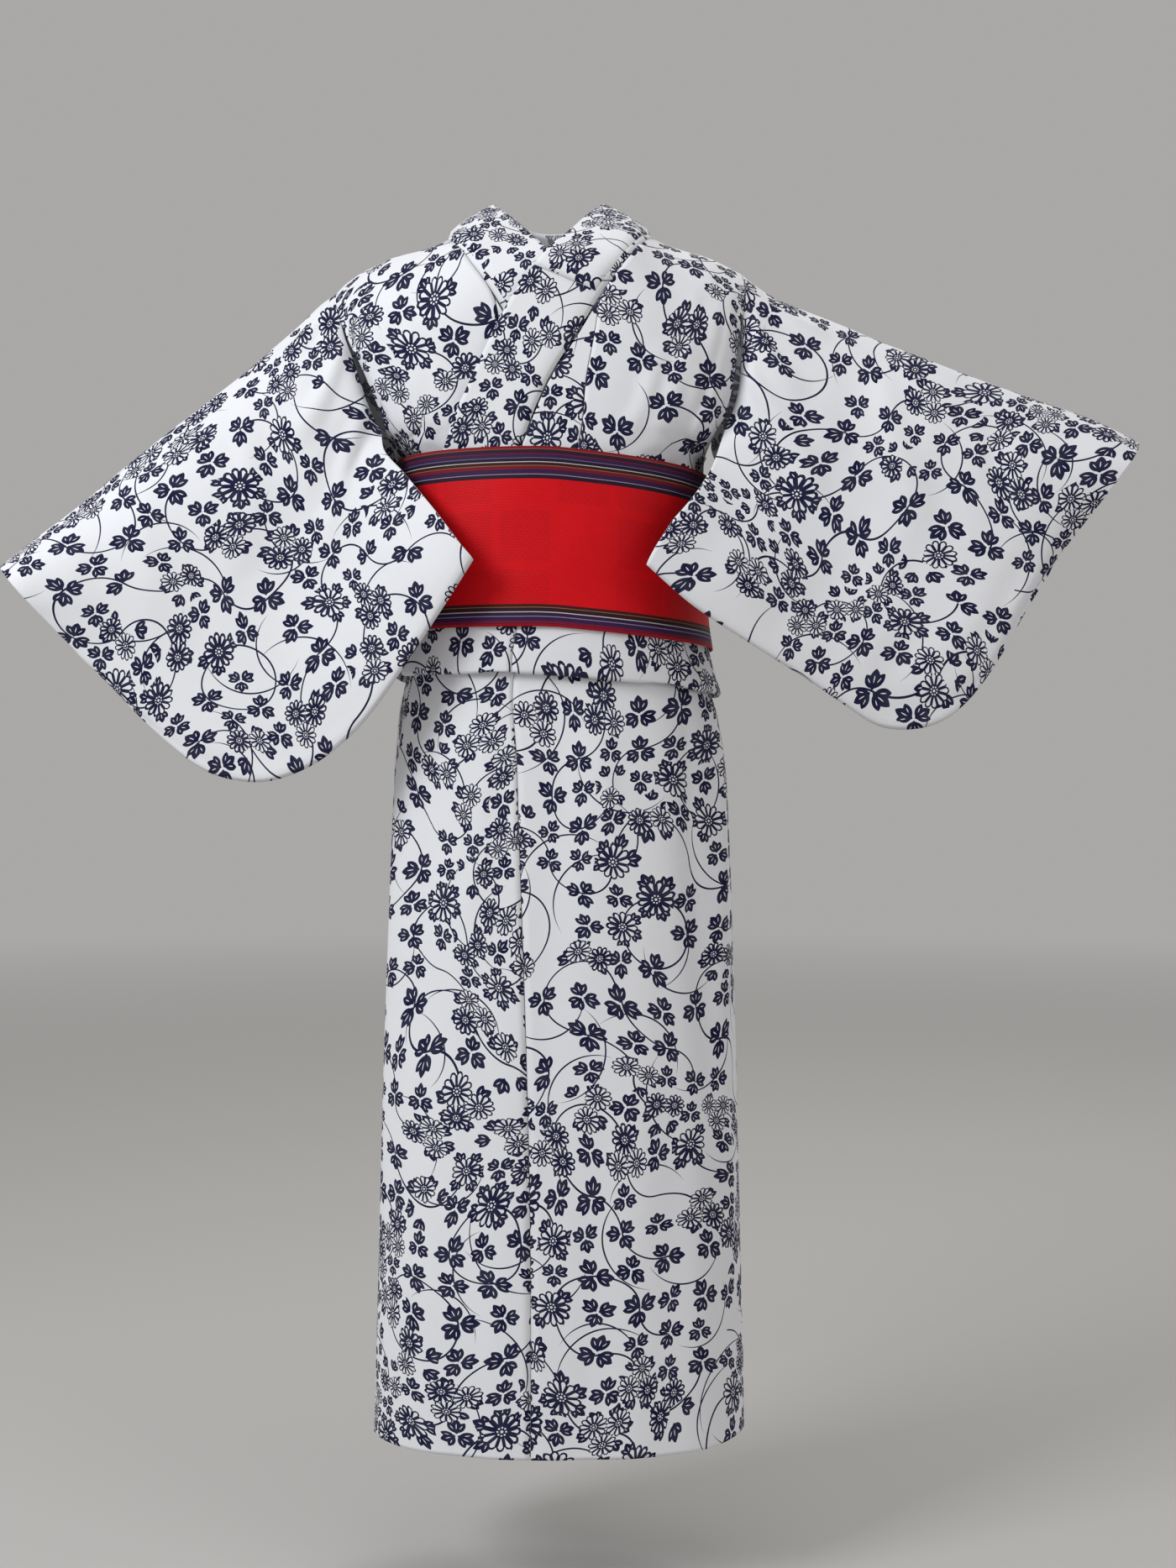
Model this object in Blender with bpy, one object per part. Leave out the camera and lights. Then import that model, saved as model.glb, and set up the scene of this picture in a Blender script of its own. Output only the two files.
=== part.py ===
"""Cotton yukata robe, worn hollow and closed by a plain belt.

Metres, +Z up. The front faces -Y and +X is the wearer's left. The origin lies on the
middle line of the body, level with the seam of the collar on the shoulders.

Every piece of cloth is a sheet of points laid on the figure, then given its thickness by
a Solidify modifier. A sheet is worked out from a short table of the lines that its two
side edges follow, and "out" is how far the sheet lies outside the figure's own sections.
"""

from collections import namedtuple
from math import atan2, cos, exp, pi, radians, sin, sqrt

import bmesh
import bpy
from mathutils import Vector

# ---------------------------------------------------------------- driving dimensions
WALL = 0.0020                # thickness of one cloth wall
COLLAR_WALL = 0.0026         # the collar is cloth folded double
SEAM = 0.0003                # gap between two pieces that are sewn together
MEAN_HALF = 0.140            # half width of the figure by which that gap is turned to an angle
HEM_HEIGHT = -1.166          # level of the hem below the origin
OBI_HEIGHT = 0.166           # width of the belt's band
OBI_TOP = -0.224             # upper edge of the belt at the middle of the front
WAIST_TILT = 0.095           # fall of belt and tuck for each metre towards the wearer's left
TILT_START = -0.170          # level below which that fall sets in
TILT_EASE = 0.060            # height over which it sets in
SECTION_POWER = 2.35         # squareness of the figure's sections (2 is an ellipse)
SHOULDER_ROLL = 0.115        # depth below the shoulder line where the cloth turns upright
ROLL_POWER = 2.1             # squareness of that turn
CREST_STEPS = (0.40, 0.10)   # rows on that turn, as shares of the depth of the row below

# how far the layers lie outside the figure's sections; those of the upper part are in
# the tables of its lines
OUT_UNDER_SKIRT = 0.0005     # wearer's right front of the skirt, underneath
OUT_BACK_SKIRT = 0.0030      # back of the skirt
OUT_OVER_SKIRT = 0.0055      # wearer's left front of the skirt, on top
OUT_OBI = 0.0198             # belt, over everything

# ------------------------------------------------------------- sections of the figure
Section = namedtuple("Section", "height left right front back")
SECTIONS = [
    Section(0.060, 0.230, 0.220, 0.112, 0.098),
    Section(-0.060, 0.240, 0.225, 0.114, 0.104),
    Section(-0.120, 0.224, 0.216, 0.118, 0.106),
    Section(-0.165, 0.206, 0.206, 0.120, 0.105),
    Section(-0.195, 0.184, 0.190, 0.120, 0.104),
    Section(-0.210, 0.158, 0.167, 0.120, 0.104),
    Section(-0.224, 0.135, 0.143, 0.120, 0.104),
    Section(-0.245, 0.131, 0.136, 0.119, 0.104),
    Section(-0.310, 0.130, 0.132, 0.118, 0.106),
    Section(-0.390, 0.131, 0.136, 0.115, 0.110),
    Section(-0.430, 0.137, 0.146, 0.113, 0.114),
    Section(-0.460, 0.143, 0.158, 0.112, 0.118),
    Section(-0.520, 0.147, 0.168, 0.112, 0.123),
    Section(-0.620, 0.150, 0.173, 0.113, 0.124),
    Section(-0.800, 0.156, 0.178, 0.114, 0.119),
    Section(-1.000, 0.163, 0.182, 0.115, 0.114),
    Section(-1.200, 0.170, 0.186, 0.116, 0.111),
]

ShoulderLine = namedtuple("ShoulderLine", "reach height")
SHOULDERS = [
    ShoulderLine(0.000, 0.036),
    ShoulderLine(0.053, 0.024),
    ShoulderLine(0.108, -0.011),
    ShoulderLine(0.154, -0.026),
    ShoulderLine(0.186, -0.041),
    ShoulderLine(0.205, -0.056),
    ShoulderLine(0.230, -0.088),
]
SHOULDER_Y = 0.004           # how far behind the middle the top of the shoulder lies


def table_value(rows, key, value, column):
    """Smooth value of one column of a table, read at a value of its key column."""
    keys = [getattr(row, key) for row in rows]
    if keys[0] > keys[-1]:
        rows = rows[::-1]
        keys = keys[::-1]
    value = min(max(value, keys[0]), keys[-1])
    index = 0
    while index < len(keys) - 2 and value > keys[index + 1]:
        index += 1
    values = [getattr(row, column) for row in rows]
    span = keys[index + 1] - keys[index]
    share = (value - keys[index]) / span
    return cubic(values, index, share)


def cubic(values, index, share):
    """Catmull-Rom value between values[index] and values[index + 1]."""
    last = len(values) - 1
    before = values[max(index - 1, 0)]
    start = values[index]
    end = values[min(index + 1, last)]
    after = values[min(index + 2, last)]
    rise_in = (end - before) * 0.5
    rise_out = (after - start) * 0.5
    square = share * share
    cube = square * share
    return (
        start * (2 * cube - 3 * square + 1)
        + rise_in * (cube - 2 * square + share)
        + end * (3 * square - 2 * cube)
        + rise_out * (cube - square)
    )


def along(rows, share):
    """Every column of a table, read a share of the way down its rows."""
    place = share * (len(rows) - 1)
    index = min(int(place), len(rows) - 2)
    columns = list(zip(*rows))
    return [cubic(column, index, place - index) for column in columns]


def section(height):
    """Middle, half width, front and back reach of the figure at a height."""
    left = table_value(SECTIONS, "height", height, "left")
    right = table_value(SECTIONS, "height", height, "right")
    front = table_value(SECTIONS, "height", height, "front")
    back = table_value(SECTIONS, "height", height, "back")
    return (right - left) / 2, (right + left) / 2, front, back


def turn_at(x, height, out):
    """Angle round the section, 0 at the front, at which the cloth reaches x."""
    middle, half, _, _ = section(height)
    reach = (x - middle) / (half + out)
    reach = min(max(reach, -1.0), 1.0)
    sine = abs(reach) ** (SECTION_POWER / 2)
    turn = atan2(sine, sqrt(max(0.0, 1 - sine * sine)))
    return turn if reach > 0 else -turn


def round_point(turn, height, out):
    """Point of the figure's section at a height and an angle, moved out."""
    middle, half, front, back = section(height)
    power = 2 / SECTION_POWER
    sine = sin(turn)
    cosine = cos(turn)
    x = middle + (half + out) * (1 if sine > 0 else -1) * abs(sine) ** power
    reach = front if cosine > 0 else back
    y = -(reach + out) * (1 if cosine > 0 else -1) * abs(cosine) ** power
    return Vector((x, y, height))


def shoulder_height(x):
    return table_value(SHOULDERS, "reach", abs(x), "height")


def upper_point(turn, height, out):
    """Point of the upper part, where the section rolls over to the shoulder line."""
    point = round_point(turn, height, out)
    below = shoulder_height(point.x) + out - height
    if below < SHOULDER_ROLL:
        share = 1 - max(below, 0.0) / SHOULDER_ROLL
        reach = (1 - share ** ROLL_POWER) ** (1 / ROLL_POWER)
        point.y = SHOULDER_Y + (point.y - SHOULDER_Y) * reach
    return point


# -------------------------------------------------------------- folds of the upper part
FOLD_GROWTH = 0.6            # how early along its run a fold comes to its full height
FOLD_FADE = 0.030            # folds die out this far below the belt's upper edge
Fold = namedtuple("Fold", "x0 z0 x1 z1 width height")
CHEST_FOLDS = [
    Fold(-0.185, -0.055, -0.112, -0.225, 0.0090, 0.0050),
    Fold(-0.155, -0.060, -0.085, -0.225, 0.0080, 0.0035),
    Fold(-0.128, -0.070, -0.070, -0.215, 0.0080, 0.0022),
    Fold(0.176, -0.060, 0.132, -0.228, 0.0085, 0.0055),
    Fold(0.158, -0.080, 0.105, -0.228, 0.0085, 0.0035),
    Fold(0.120, -0.100, 0.078, -0.228, 0.0080, 0.0025),
]
BACK_FOLDS = [
    Fold(-0.180, -0.060, -0.105, -0.225, 0.0095, 0.0045),
    Fold(-0.140, -0.090, -0.075, -0.225, 0.0085, 0.0030),
    Fold(0.180, -0.060, 0.110, -0.225, 0.0095, 0.0045),
    Fold(0.138, -0.085, 0.070, -0.225, 0.0085, 0.0030),
]


def fold_height(folds, x, z):
    """Height of the ridges that run from the armholes to the belt."""
    total = 0.0
    for fold in folds:
        run_x = fold.x1 - fold.x0
        run_z = fold.z1 - fold.z0
        length = sqrt(run_x * run_x + run_z * run_z)
        down = ((x - fold.x0) * run_x + (z - fold.z0) * run_z) / length
        across = ((x - fold.x0) * run_z - (z - fold.z0) * run_x) / length
        share = min(max(down / length, 0.0), 1.0)
        overrun = down - share * length
        distance = sqrt(across * across + overrun * overrun)
        total += fold.height * share ** FOLD_GROWTH * exp(-((distance / fold.width) ** 2))
    return total


# ------------------------------------------------ cut lines of the upper part, as worn
# Rows run from the inner end of the tuck, down to its fold, up to the shoulder line. Each
# gives the seam to the collar, the seam between overlap panel and front, and the armhole
# or side edge.
FrontLine = namedtuple("FrontLine", "collar_x collar_z seam_x seam_z arm_x arm_z out")
OVER_FRONT = [
    FrontLine(-0.132, -0.385, -0.026, -0.385, 0.170, -0.385, 0.0103),
    FrontLine(-0.137, -0.412, -0.030, -0.412, 0.170, -0.412, 0.0118),
    FrontLine(-0.140, -0.4300, -0.0332, -0.4325, 0.170, -0.4325, 0.0139),
    FrontLine(-0.140, -0.412, -0.032, -0.412, 0.170, -0.412, 0.0160),
    FrontLine(-0.134, -0.372, -0.024, -0.372, 0.170, -0.372, 0.0160),
    FrontLine(-0.100, -0.335, -0.012, -0.335, 0.170, -0.335, 0.0150),
    FrontLine(-0.066, -0.295, 0.003, -0.295, 0.170, -0.290, 0.0130),
    FrontLine(-0.043, -0.258, 0.018, -0.258, 0.170, -0.262, 0.0112),
    FrontLine(-0.0239, -0.2221, 0.0281, -0.2240, 0.160, -0.238, 0.0105),
    FrontLine(-0.0116, -0.1908, 0.0328, -0.1930, 0.1670, -0.208, 0.0105),
    FrontLine(0.0039, -0.1571, 0.0355, -0.1610, 0.1760, -0.176, 0.0105),
    FrontLine(0.0296, -0.1163, 0.0430, -0.1200, 0.1815, -0.143, 0.0105),
    FrontLine(0.0506, -0.0806, 0.0506, -0.0806, 0.1840, -0.112, 0.0105),
    FrontLine(0.0731, -0.0470, 0.0731, -0.0470, 0.1865, -0.086, 0.0100),
    FrontLine(0.0884, -0.0246, 0.0884, -0.0246, 0.1880, -0.065, 0.0088),
    FrontLine(0.1035, -0.0060, 0.1035, -0.0060, 0.1870, -0.048, 0.0072),
]
UNDER_FRONT = [
    FrontLine(-0.143, -0.385, -0.143, -0.385, -0.170, -0.385, 0.0103),
    FrontLine(-0.145, -0.412, -0.145, -0.412, -0.170, -0.412, 0.0118),
    FrontLine(-0.147, -0.4300, -0.147, -0.4300, -0.170, -0.4310, 0.0139),
    FrontLine(-0.146, -0.412, -0.146, -0.412, -0.170, -0.412, 0.0160),
    FrontLine(-0.143, -0.374, -0.143, -0.374, -0.170, -0.374, 0.0155),
    FrontLine(-0.118, -0.342, -0.118, -0.342, -0.170, -0.342, 0.0085),
    FrontLine(0.052, -0.295, -0.003, -0.295, -0.170, -0.295, 0.0035),
    FrontLine(0.043, -0.258, -0.018, -0.258, -0.170, -0.262, 0.0030),
    FrontLine(0.0239, -0.2221, -0.0281, -0.2240, -0.1440, -0.238, 0.0030),
    FrontLine(0.0116, -0.1908, -0.0328, -0.1930, -0.1560, -0.205, 0.0030),
    FrontLine(-0.0039, -0.1571, -0.0355, -0.1610, -0.1690, -0.173, 0.0030),
    FrontLine(-0.0296, -0.1163, -0.0430, -0.1200, -0.1810, -0.142, 0.0030),
    FrontLine(-0.0506, -0.0806, -0.0506, -0.0806, -0.1930, -0.115, 0.0032),
    FrontLine(-0.0731, -0.0470, -0.0731, -0.0470, -0.2000, -0.094, 0.0038),
    FrontLine(-0.0900, -0.0230, -0.0900, -0.0230, -0.2040, -0.077, 0.0048),
    FrontLine(-0.1045, -0.0050, -0.1045, -0.0050, -0.2060, -0.063, 0.0060),
]
KENSAKI_ROW = 12             # row at which the overlap panel ends in its point
KENSAKI_SHORT = 0.06         # share of a row by which the point stays off the collar
UNDER_OKUMI_ROW = 6          # row at which the hidden overlap panel starts, under the belt

# The back of each side, from the shoulder line down and round the tuck.
BackLine = namedtuple("BackLine", "inner_x inner_z left_x right_x arm_z out")
BACK = [
    BackLine(0.1035, -0.0140, 0.1900, 0.2060, -0.076, 0.0060),
    BackLine(0.0880, -0.0210, 0.1890, 0.2030, -0.096, 0.0060),
    BackLine(0.0600, -0.0300, 0.1860, 0.1960, -0.118, 0.0060),
    BackLine(0.0280, -0.0350, 0.1800, 0.1870, -0.142, 0.0060),
    BackLine(0.0000, -0.0380, 0.1710, 0.1760, -0.168, 0.0060),
    BackLine(0.0000, -0.0800, 0.1600, 0.1620, -0.194, 0.0060),
    BackLine(0.0000, -0.1400, 0.1520, 0.1520, -0.220, 0.0060),
    BackLine(0.0000, -0.2000, 0.1500, 0.1500, -0.244, 0.0060),
    BackLine(0.0000, -0.2550, 0.1700, 0.1700, -0.268, 0.0060),
    BackLine(0.0000, -0.2950, 0.1700, 0.1700, -0.295, 0.0070),
    BackLine(0.0000, -0.3350, 0.1700, 0.1700, -0.335, 0.0100),
    BackLine(0.0000, -0.3720, 0.1700, 0.1700, -0.372, 0.0160),
    BackLine(0.0000, -0.4120, 0.1700, 0.1700, -0.412, 0.0160),
    BackLine(0.0000, -0.4325, 0.1700, 0.1700, -0.4325, 0.0139),
    BackLine(0.0000, -0.4120, 0.1700, 0.1700, -0.412, 0.0118),
    BackLine(0.0000, -0.3850, 0.1700, 0.1700, -0.385, 0.0080),
]
WEARER_LEFT = 1
WEARER_RIGHT = -1


def waist_drop(x, z):
    """How much the belt and the tuck sink towards the wearer's left."""
    near = min(max((TILT_START - z) / TILT_EASE, 0.0), 1.0)
    return WAIST_TILT * max(x, 0.0) * near


def edge_turn(x, z, out, side, back):
    """Angle of an edge given by its x. An x at or past the side is the line down the side."""
    turn = turn_at(x, z, out)
    return side * pi - turn if back else turn


def upper_row(x0, z0, x1, z1, out, back, count):
    """Points from one edge of a panel to the other, along the figure."""
    side = 1 if x1 > 0 else -1
    turn0 = side * pi if back and x0 == 0 else edge_turn(x0, z0, out, side, back)
    turn1 = edge_turn(x1, z1, out, side, back)
    trim = SEAM / 2 / MEAN_HALF * (1 if turn1 > turn0 else -1)
    turn0 += trim
    turn1 -= trim
    row = []
    for step in range(count + 1):
        share = step / count
        turn = turn0 + (turn1 - turn0) * share
        z = z0 + (z1 - z0) * share
        plain = upper_point(turn, z, out)
        folds = BACK_FOLDS if back else CHEST_FOLDS
        ridge = fold_height(folds, plain.x, z)
        if z < OBI_TOP:
            ridge *= max(0.0, 1 - (OBI_TOP - z) / FOLD_FADE)
        lowered = z - waist_drop(plain.x, z)
        row.append(upper_point(turn, lowered, out + ridge))
    return row


def crest_row(row, out, back, fraction):
    """Row nearer the top of the shoulder: each point of a row, raised along the roll."""
    raised = []
    for point in row:
        top = shoulder_height(point.x) + out
        height = top - (top - point.z) * fraction
        side = 1 if point.x > 0 else -1
        turn = edge_turn(point.x, height, out, side, back)
        raised.append(upper_point(turn, height, out))
    return raised


def body_sheet(front_lines, side, steps, columns):
    """Front, shoulder and back of one side, which are one length of cloth."""
    grid = []
    segments = len(front_lines) - 1
    for index in range(segments * steps + 1):
        line = FrontLine(*along(front_lines, index / (segments * steps)))
        edges = (line.seam_x, line.seam_z, line.arm_x, line.arm_z)
        grid.append(upper_row(*edges, line.out, False, columns))
    last_front = grid[-1]
    for fraction in CREST_STEPS:
        grid.append(crest_row(last_front, line.out, False, fraction))
    backs = []
    segments = len(BACK) - 1
    for index in range(segments * steps + 1):
        line = BackLine(*along(BACK, index / (segments * steps)))
        inner_x = max(line.inner_x, 0.0) * side
        arm_x = line.left_x if side == WEARER_LEFT else -line.right_x
        edges = (inner_x, line.inner_z, arm_x, line.arm_z)
        backs.append(upper_row(*edges, line.out, True, columns))
    for fraction in (0.0, *reversed(CREST_STEPS)):
        grid.append(crest_row(backs[0], BACK[0].out, True, fraction))
    return grid + backs


def okumi_sheet(front_lines, first_row, steps, columns):
    """Overlap panel between the collar and the front, up to its point."""
    grid = []
    segments = len(front_lines) - 1
    tip = (KENSAKI_ROW - KENSAKI_SHORT) / segments
    start = first_row / segments
    count = (KENSAKI_ROW - first_row) * steps
    for index in range(count + 1):
        share = start + (tip - start) * index / count
        line = FrontLine(*along(front_lines, share))
        edges = (line.collar_x, line.collar_z, line.seam_x, line.seam_z)
        grid.append(upper_row(*edges, line.out, False, columns))
    return grid


# --------------------------------------------------------------------------- the skirt
SkirtLine = namedtuple("SkirtLine", "height over_edge okumi_seam under_seam under_edge")
SKIRT = [
    SkirtLine(-0.345, -0.108, -0.012, 0.040, 0.110),
    SkirtLine(-0.400, -0.121, -0.026, 0.034, 0.118),
    SkirtLine(-0.453, -0.134, -0.0328, 0.030, 0.125),
    SkirtLine(-0.510, -0.143, -0.0290, 0.026, 0.130),
    SkirtLine(-0.590, -0.150, -0.0265, 0.022, 0.133),
    SkirtLine(-0.750, -0.1565, -0.0212, 0.018, 0.136),
    SkirtLine(-0.915, -0.1630, -0.0170, 0.016, 0.138),
    SkirtLine(-1.050, -0.1670, -0.0158, 0.015, 0.140),
    SkirtLine(HEM_HEIGHT, -0.1700, -0.0158, 0.015, 0.142),
]
SEAM_TURN = radians(96)      # the side seams lie a little behind the widest line
FRONT_TURN = radians(58)     # past this angle the front layers ease down to the back's


def skirt_out(turn, front_out):
    """Layer height round the skirt: the front's own, easing to the back's at the side."""
    share = (abs(turn) - FRONT_TURN) / (SEAM_TURN - FRONT_TURN)
    share = min(max(share, 0.0), 1.0)
    share = share * share * (3 - 2 * share)
    return front_out + (OUT_BACK_SKIRT - front_out) * share


def skirt_sheet(start_of, end_of, front_out, steps, columns):
    """Panel of the skirt between two edges, each given as an angle for a row."""
    grid = []
    segments = len(SKIRT) - 1
    for index in range(segments * steps + 1):
        line = SkirtLine(*along(SKIRT, index / (segments * steps)))
        half = section(line.height)[1]
        turn0 = start_of(line) + SEAM / 2 / half
        turn1 = end_of(line) - SEAM / 2 / half
        row = []
        for step in range(columns + 1):
            turn = turn0 + (turn1 - turn0) * step / columns
            out = skirt_out(turn, front_out)
            row.append(round_point(turn, line.height, out))
        grid.append(row)
    return grid


def line_turn(column, out):
    """Angle, row by row, of one of the skirt's lines."""
    return lambda line: turn_at(getattr(line, column), line.height, out)


def fixed_turn(turn):
    return lambda line: turn


# -------------------------------------------------------------------------- the collar
# From the middle of the back over the shoulder and down the front. The fold is the edge
# round the neck and the seam is the edge sewn to the panels.
CollarLine = namedtuple("CollarLine", "fold_x fold_z fold_y seam_x seam_z out")
COLLAR_BACK = [
    CollarLine(0.000, 0.030, 0.080, 0.0000, -0.0375, 0.0088),
    CollarLine(0.022, 0.032, 0.076, 0.0290, -0.0345, 0.0088),
    CollarLine(0.041, 0.036, 0.060, 0.0610, -0.0295, 0.0088),
    CollarLine(0.052, 0.038, 0.034, 0.0870, -0.0215, 0.0088),
]
COLLAR_OVER = [
    CollarLine(0.0530, 0.0375, 0.002, 0.1035, None, 0.0098),
    CollarLine(0.0440, 0.0235, -0.026, 0.0960, -0.0130, 0.0112),
    CollarLine(0.0310, 0.0055, -0.055, 0.0860, -0.0275, 0.0124),
    CollarLine(0.0125, -0.0195, -0.0885, 0.0731, -0.0470, 0.0137),
    CollarLine(-0.0130, -0.0540, None, 0.0506, -0.0806, 0.0140),
    CollarLine(-0.0372, -0.0894, None, 0.0296, -0.1163, 0.0136),
    CollarLine(-0.0600, -0.1350, None, 0.0039, -0.1571, 0.0131),
    CollarLine(-0.0800, -0.1790, None, -0.0116, -0.1908, 0.0131),
    CollarLine(-0.0960, -0.2180, None, -0.0239, -0.2221, 0.0131),
    CollarLine(-0.1080, -0.2520, None, -0.0430, -0.2580, 0.0138),
    CollarLine(-0.1180, -0.2850, None, -0.0640, -0.2920, 0.0155),
]
COLLAR_UNDER = [
    CollarLine(-0.0555, 0.0375, 0.002, -0.1045, None, 0.0085),
    CollarLine(-0.0470, 0.0240, -0.026, -0.0990, -0.0120, 0.0074),
    CollarLine(-0.0340, 0.0080, -0.053, -0.0890, -0.0250, 0.0064),
    CollarLine(-0.0145, -0.0160, -0.078, -0.0731, -0.0470, 0.0058),
    CollarLine(0.0130, -0.0540, None, -0.0506, -0.0806, 0.0056),
    CollarLine(0.0372, -0.0894, None, -0.0296, -0.1163, 0.0056),
    CollarLine(0.0600, -0.1350, None, -0.0039, -0.1571, 0.0056),
    CollarLine(0.0800, -0.1790, None, 0.0116, -0.1908, 0.0056),
    CollarLine(0.0960, -0.2180, None, 0.0239, -0.2221, 0.0056),
    CollarLine(0.1040, -0.2450, None, 0.0360, -0.2480, 0.0056),
]
COLLAR_ROLL = 0.0040         # how far the doubled collar bulges between fold and seam
COLLAR_LEAN = 0.10           # how far the bulge leans up, for a strip standing a metre out
COLLAR_INSET = 0.0022        # from the cut edge of the panels to the collar's own edge
COVER_LIFT = 0.0036          # how far the over-collar lies off the collar
COVER_REACH = 0.80           # share of the collar's last strip that the over-collar covers
COVER_ENDS = (5.5, 21)        # stations of the collar between which the over-collar lies


def collar_station(line, side, back):
    """Fold point, seam point, layer height and how closely the strip lies on the chest."""
    seam_x = line.seam_x * side if back else line.seam_x
    fold_x = line.fold_x * side if back else line.fold_x
    if line.seam_z is None:
        seam = Vector((seam_x, SHOULDER_Y, shoulder_height(seam_x) + line.out))
    else:
        turn = edge_turn(seam_x, line.seam_z, line.out, side, back)
        seam = upper_point(turn, line.seam_z, line.out)
        seam.z -= waist_drop(seam.x, seam.z)
    lies = line.fold_y is None
    if lies:
        turn = turn_at(fold_x, line.fold_z, line.out)
        fold = upper_point(turn, line.fold_z, line.out)
        fold.z -= waist_drop(fold.x, fold.z)
    else:
        fold = Vector((fold_x, line.fold_y, line.fold_z))
    return (*fold, *seam, line.out, 1.0 if lies else 0.0)


def collar_row(station, columns):
    """Strip of the collar across its width, from the fold to the seam."""
    fold = Vector(station[0:3])
    seam = Vector(station[3:6])
    out = station[6]
    lies = min(max(station[7], 0.0), 1.0)
    across = (seam - fold).normalized()
    seam -= across * COLLAR_INSET
    outward = Vector((fold.x + seam.x, fold.y + seam.y, COLLAR_LEAN)).normalized()
    outward = (outward - across * outward.dot(across)).normalized()
    row = []
    for step in range(columns + 1):
        share = step / columns
        straight = fold.lerp(seam, share)
        rolled = straight + outward * COLLAR_ROLL * 4 * share * (1 - share)
        if lies > 0:
            turn = turn_at(straight.x, straight.z, out)
            on_chest = upper_point(turn, straight.z, out)
            on_chest.x = straight.x
            rolled = rolled.lerp(on_chest, lies)
        row.append(rolled)
    return row


def collar_stations():
    """All stations from the end under the belt on the right to the end on the left."""
    under = [collar_station(line, WEARER_RIGHT, False) for line in reversed(COLLAR_UNDER)]
    right = [collar_station(line, WEARER_RIGHT, True) for line in reversed(COLLAR_BACK)]
    left = [collar_station(line, WEARER_LEFT, True) for line in COLLAR_BACK[1:]]
    over = [collar_station(line, WEARER_LEFT, False) for line in COLLAR_OVER]
    return under + right + left + over


def collar_sheet(steps, columns):
    """The whole collar, from its hidden right end round the neck to its left end."""
    stations = collar_stations()
    count = (len(stations) - 1) * steps
    return [collar_row(along(stations, index / count), columns) for index in range(count + 1)]


def moved_out(grid, distance):
    """The same sheet, each point moved out square to the sheet by a distance."""
    moved = []
    last_row = len(grid) - 1
    for index, row in enumerate(grid):
        before = grid[max(index - 1, 0)]
        after = grid[min(index + 1, last_row)]
        last = len(row) - 1
        line = []
        for place, point in enumerate(row):
            across = row[min(place + 1, last)] - row[max(place - 1, 0)]
            length = after[place] - before[place]
            line.append(point + length.cross(across).normalized() * distance)
        moved.append(line)
    return moved


# ------------------------------------------------------------------------- the sleeves
# Stations run from the armhole to the cuff. The ridge is the fold over the arm and the
# low edge is the sewn bottom, its round corner and the sewn part below the cuff.
SleeveLine = namedtuple("SleeveLine", "ridge_x ridge_z ridge_y low_x low_z low_y spread")
SLEEVE_LEFT = [
    SleeveLine(0.1990, -0.0500, 0.004, 0.0918, -0.3349, -0.165, 0.058),
    SleeveLine(0.2324, -0.0690, -0.006, 0.1350, -0.3720, -0.157, 0.052),
    SleeveLine(0.2850, -0.0900, -0.020, 0.1925, -0.4081, -0.142, 0.044),
    SleeveLine(0.3240, -0.1080, -0.030, 0.2406, -0.4368, -0.128, 0.040),
    SleeveLine(0.3727, -0.1290, -0.038, 0.2810, -0.4630, -0.118, 0.038),
    SleeveLine(0.4100, -0.1430, -0.042, 0.3100, -0.4800, -0.110, 0.037),
    SleeveLine(0.4400, -0.1545, -0.046, 0.3415, -0.4830, -0.105, 0.036),
    SleeveLine(0.4700, -0.1655, -0.049, 0.3710, -0.4750, -0.100, 0.036),
    SleeveLine(0.4950, -0.1745, -0.052, 0.3955, -0.4560, -0.095, 0.036),
    SleeveLine(0.5180, -0.1835, -0.055, 0.4175, -0.4290, -0.090, 0.036),
    SleeveLine(0.5420, -0.1950, -0.058, 0.4400, -0.3940, -0.082, 0.036),
    SleeveLine(0.5670, -0.2086, -0.060, 0.4618, -0.3547, -0.075, 0.036),
]
SLEEVE_RIGHT = [
    SleeveLine(-0.2110, -0.0530, 0.004, -0.0680, -0.3311, -0.165, 0.058),
    SleeveLine(-0.2300, -0.0680, -0.006, -0.0917, -0.3669, -0.157, 0.052),
    SleeveLine(-0.2560, -0.0965, -0.016, -0.1206, -0.4081, -0.143, 0.046),
    SleeveLine(-0.2925, -0.1293, -0.024, -0.1520, -0.4520, -0.130, 0.041),
    SleeveLine(-0.3319, -0.1633, -0.032, -0.1800, -0.4850, -0.120, 0.038),
    SleeveLine(-0.3643, -0.1910, -0.039, -0.2180, -0.5150, -0.112, 0.037),
    SleeveLine(-0.3983, -0.2199, -0.045, -0.2586, -0.5310, -0.106, 0.036),
    SleeveLine(-0.4250, -0.2430, -0.048, -0.2920, -0.5312, -0.101, 0.036),
    SleeveLine(-0.4500, -0.2650, -0.051, -0.3250, -0.5210, -0.097, 0.036),
    SleeveLine(-0.4760, -0.2870, -0.054, -0.3580, -0.4970, -0.092, 0.036),
    SleeveLine(-0.5010, -0.3075, -0.057, -0.3880, -0.4700, -0.086, 0.036),
    SleeveLine(-0.5251, -0.3275, -0.060, -0.4121, -0.4456, -0.080, 0.036),
]
Spread = namedtuple("Spread", "down width")
SPREADS = [
    Spread(0.00, 0.00),
    Spread(0.04, 0.52),
    Spread(0.10, 0.84),
    Spread(0.18, 1.00),
    Spread(0.30, 0.94),
    Spread(0.45, 0.70),
    Spread(0.60, 0.46),
    Spread(0.75, 0.30),
    Spread(0.90, 0.15),
    Spread(1.00, 0.00),
]
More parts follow.
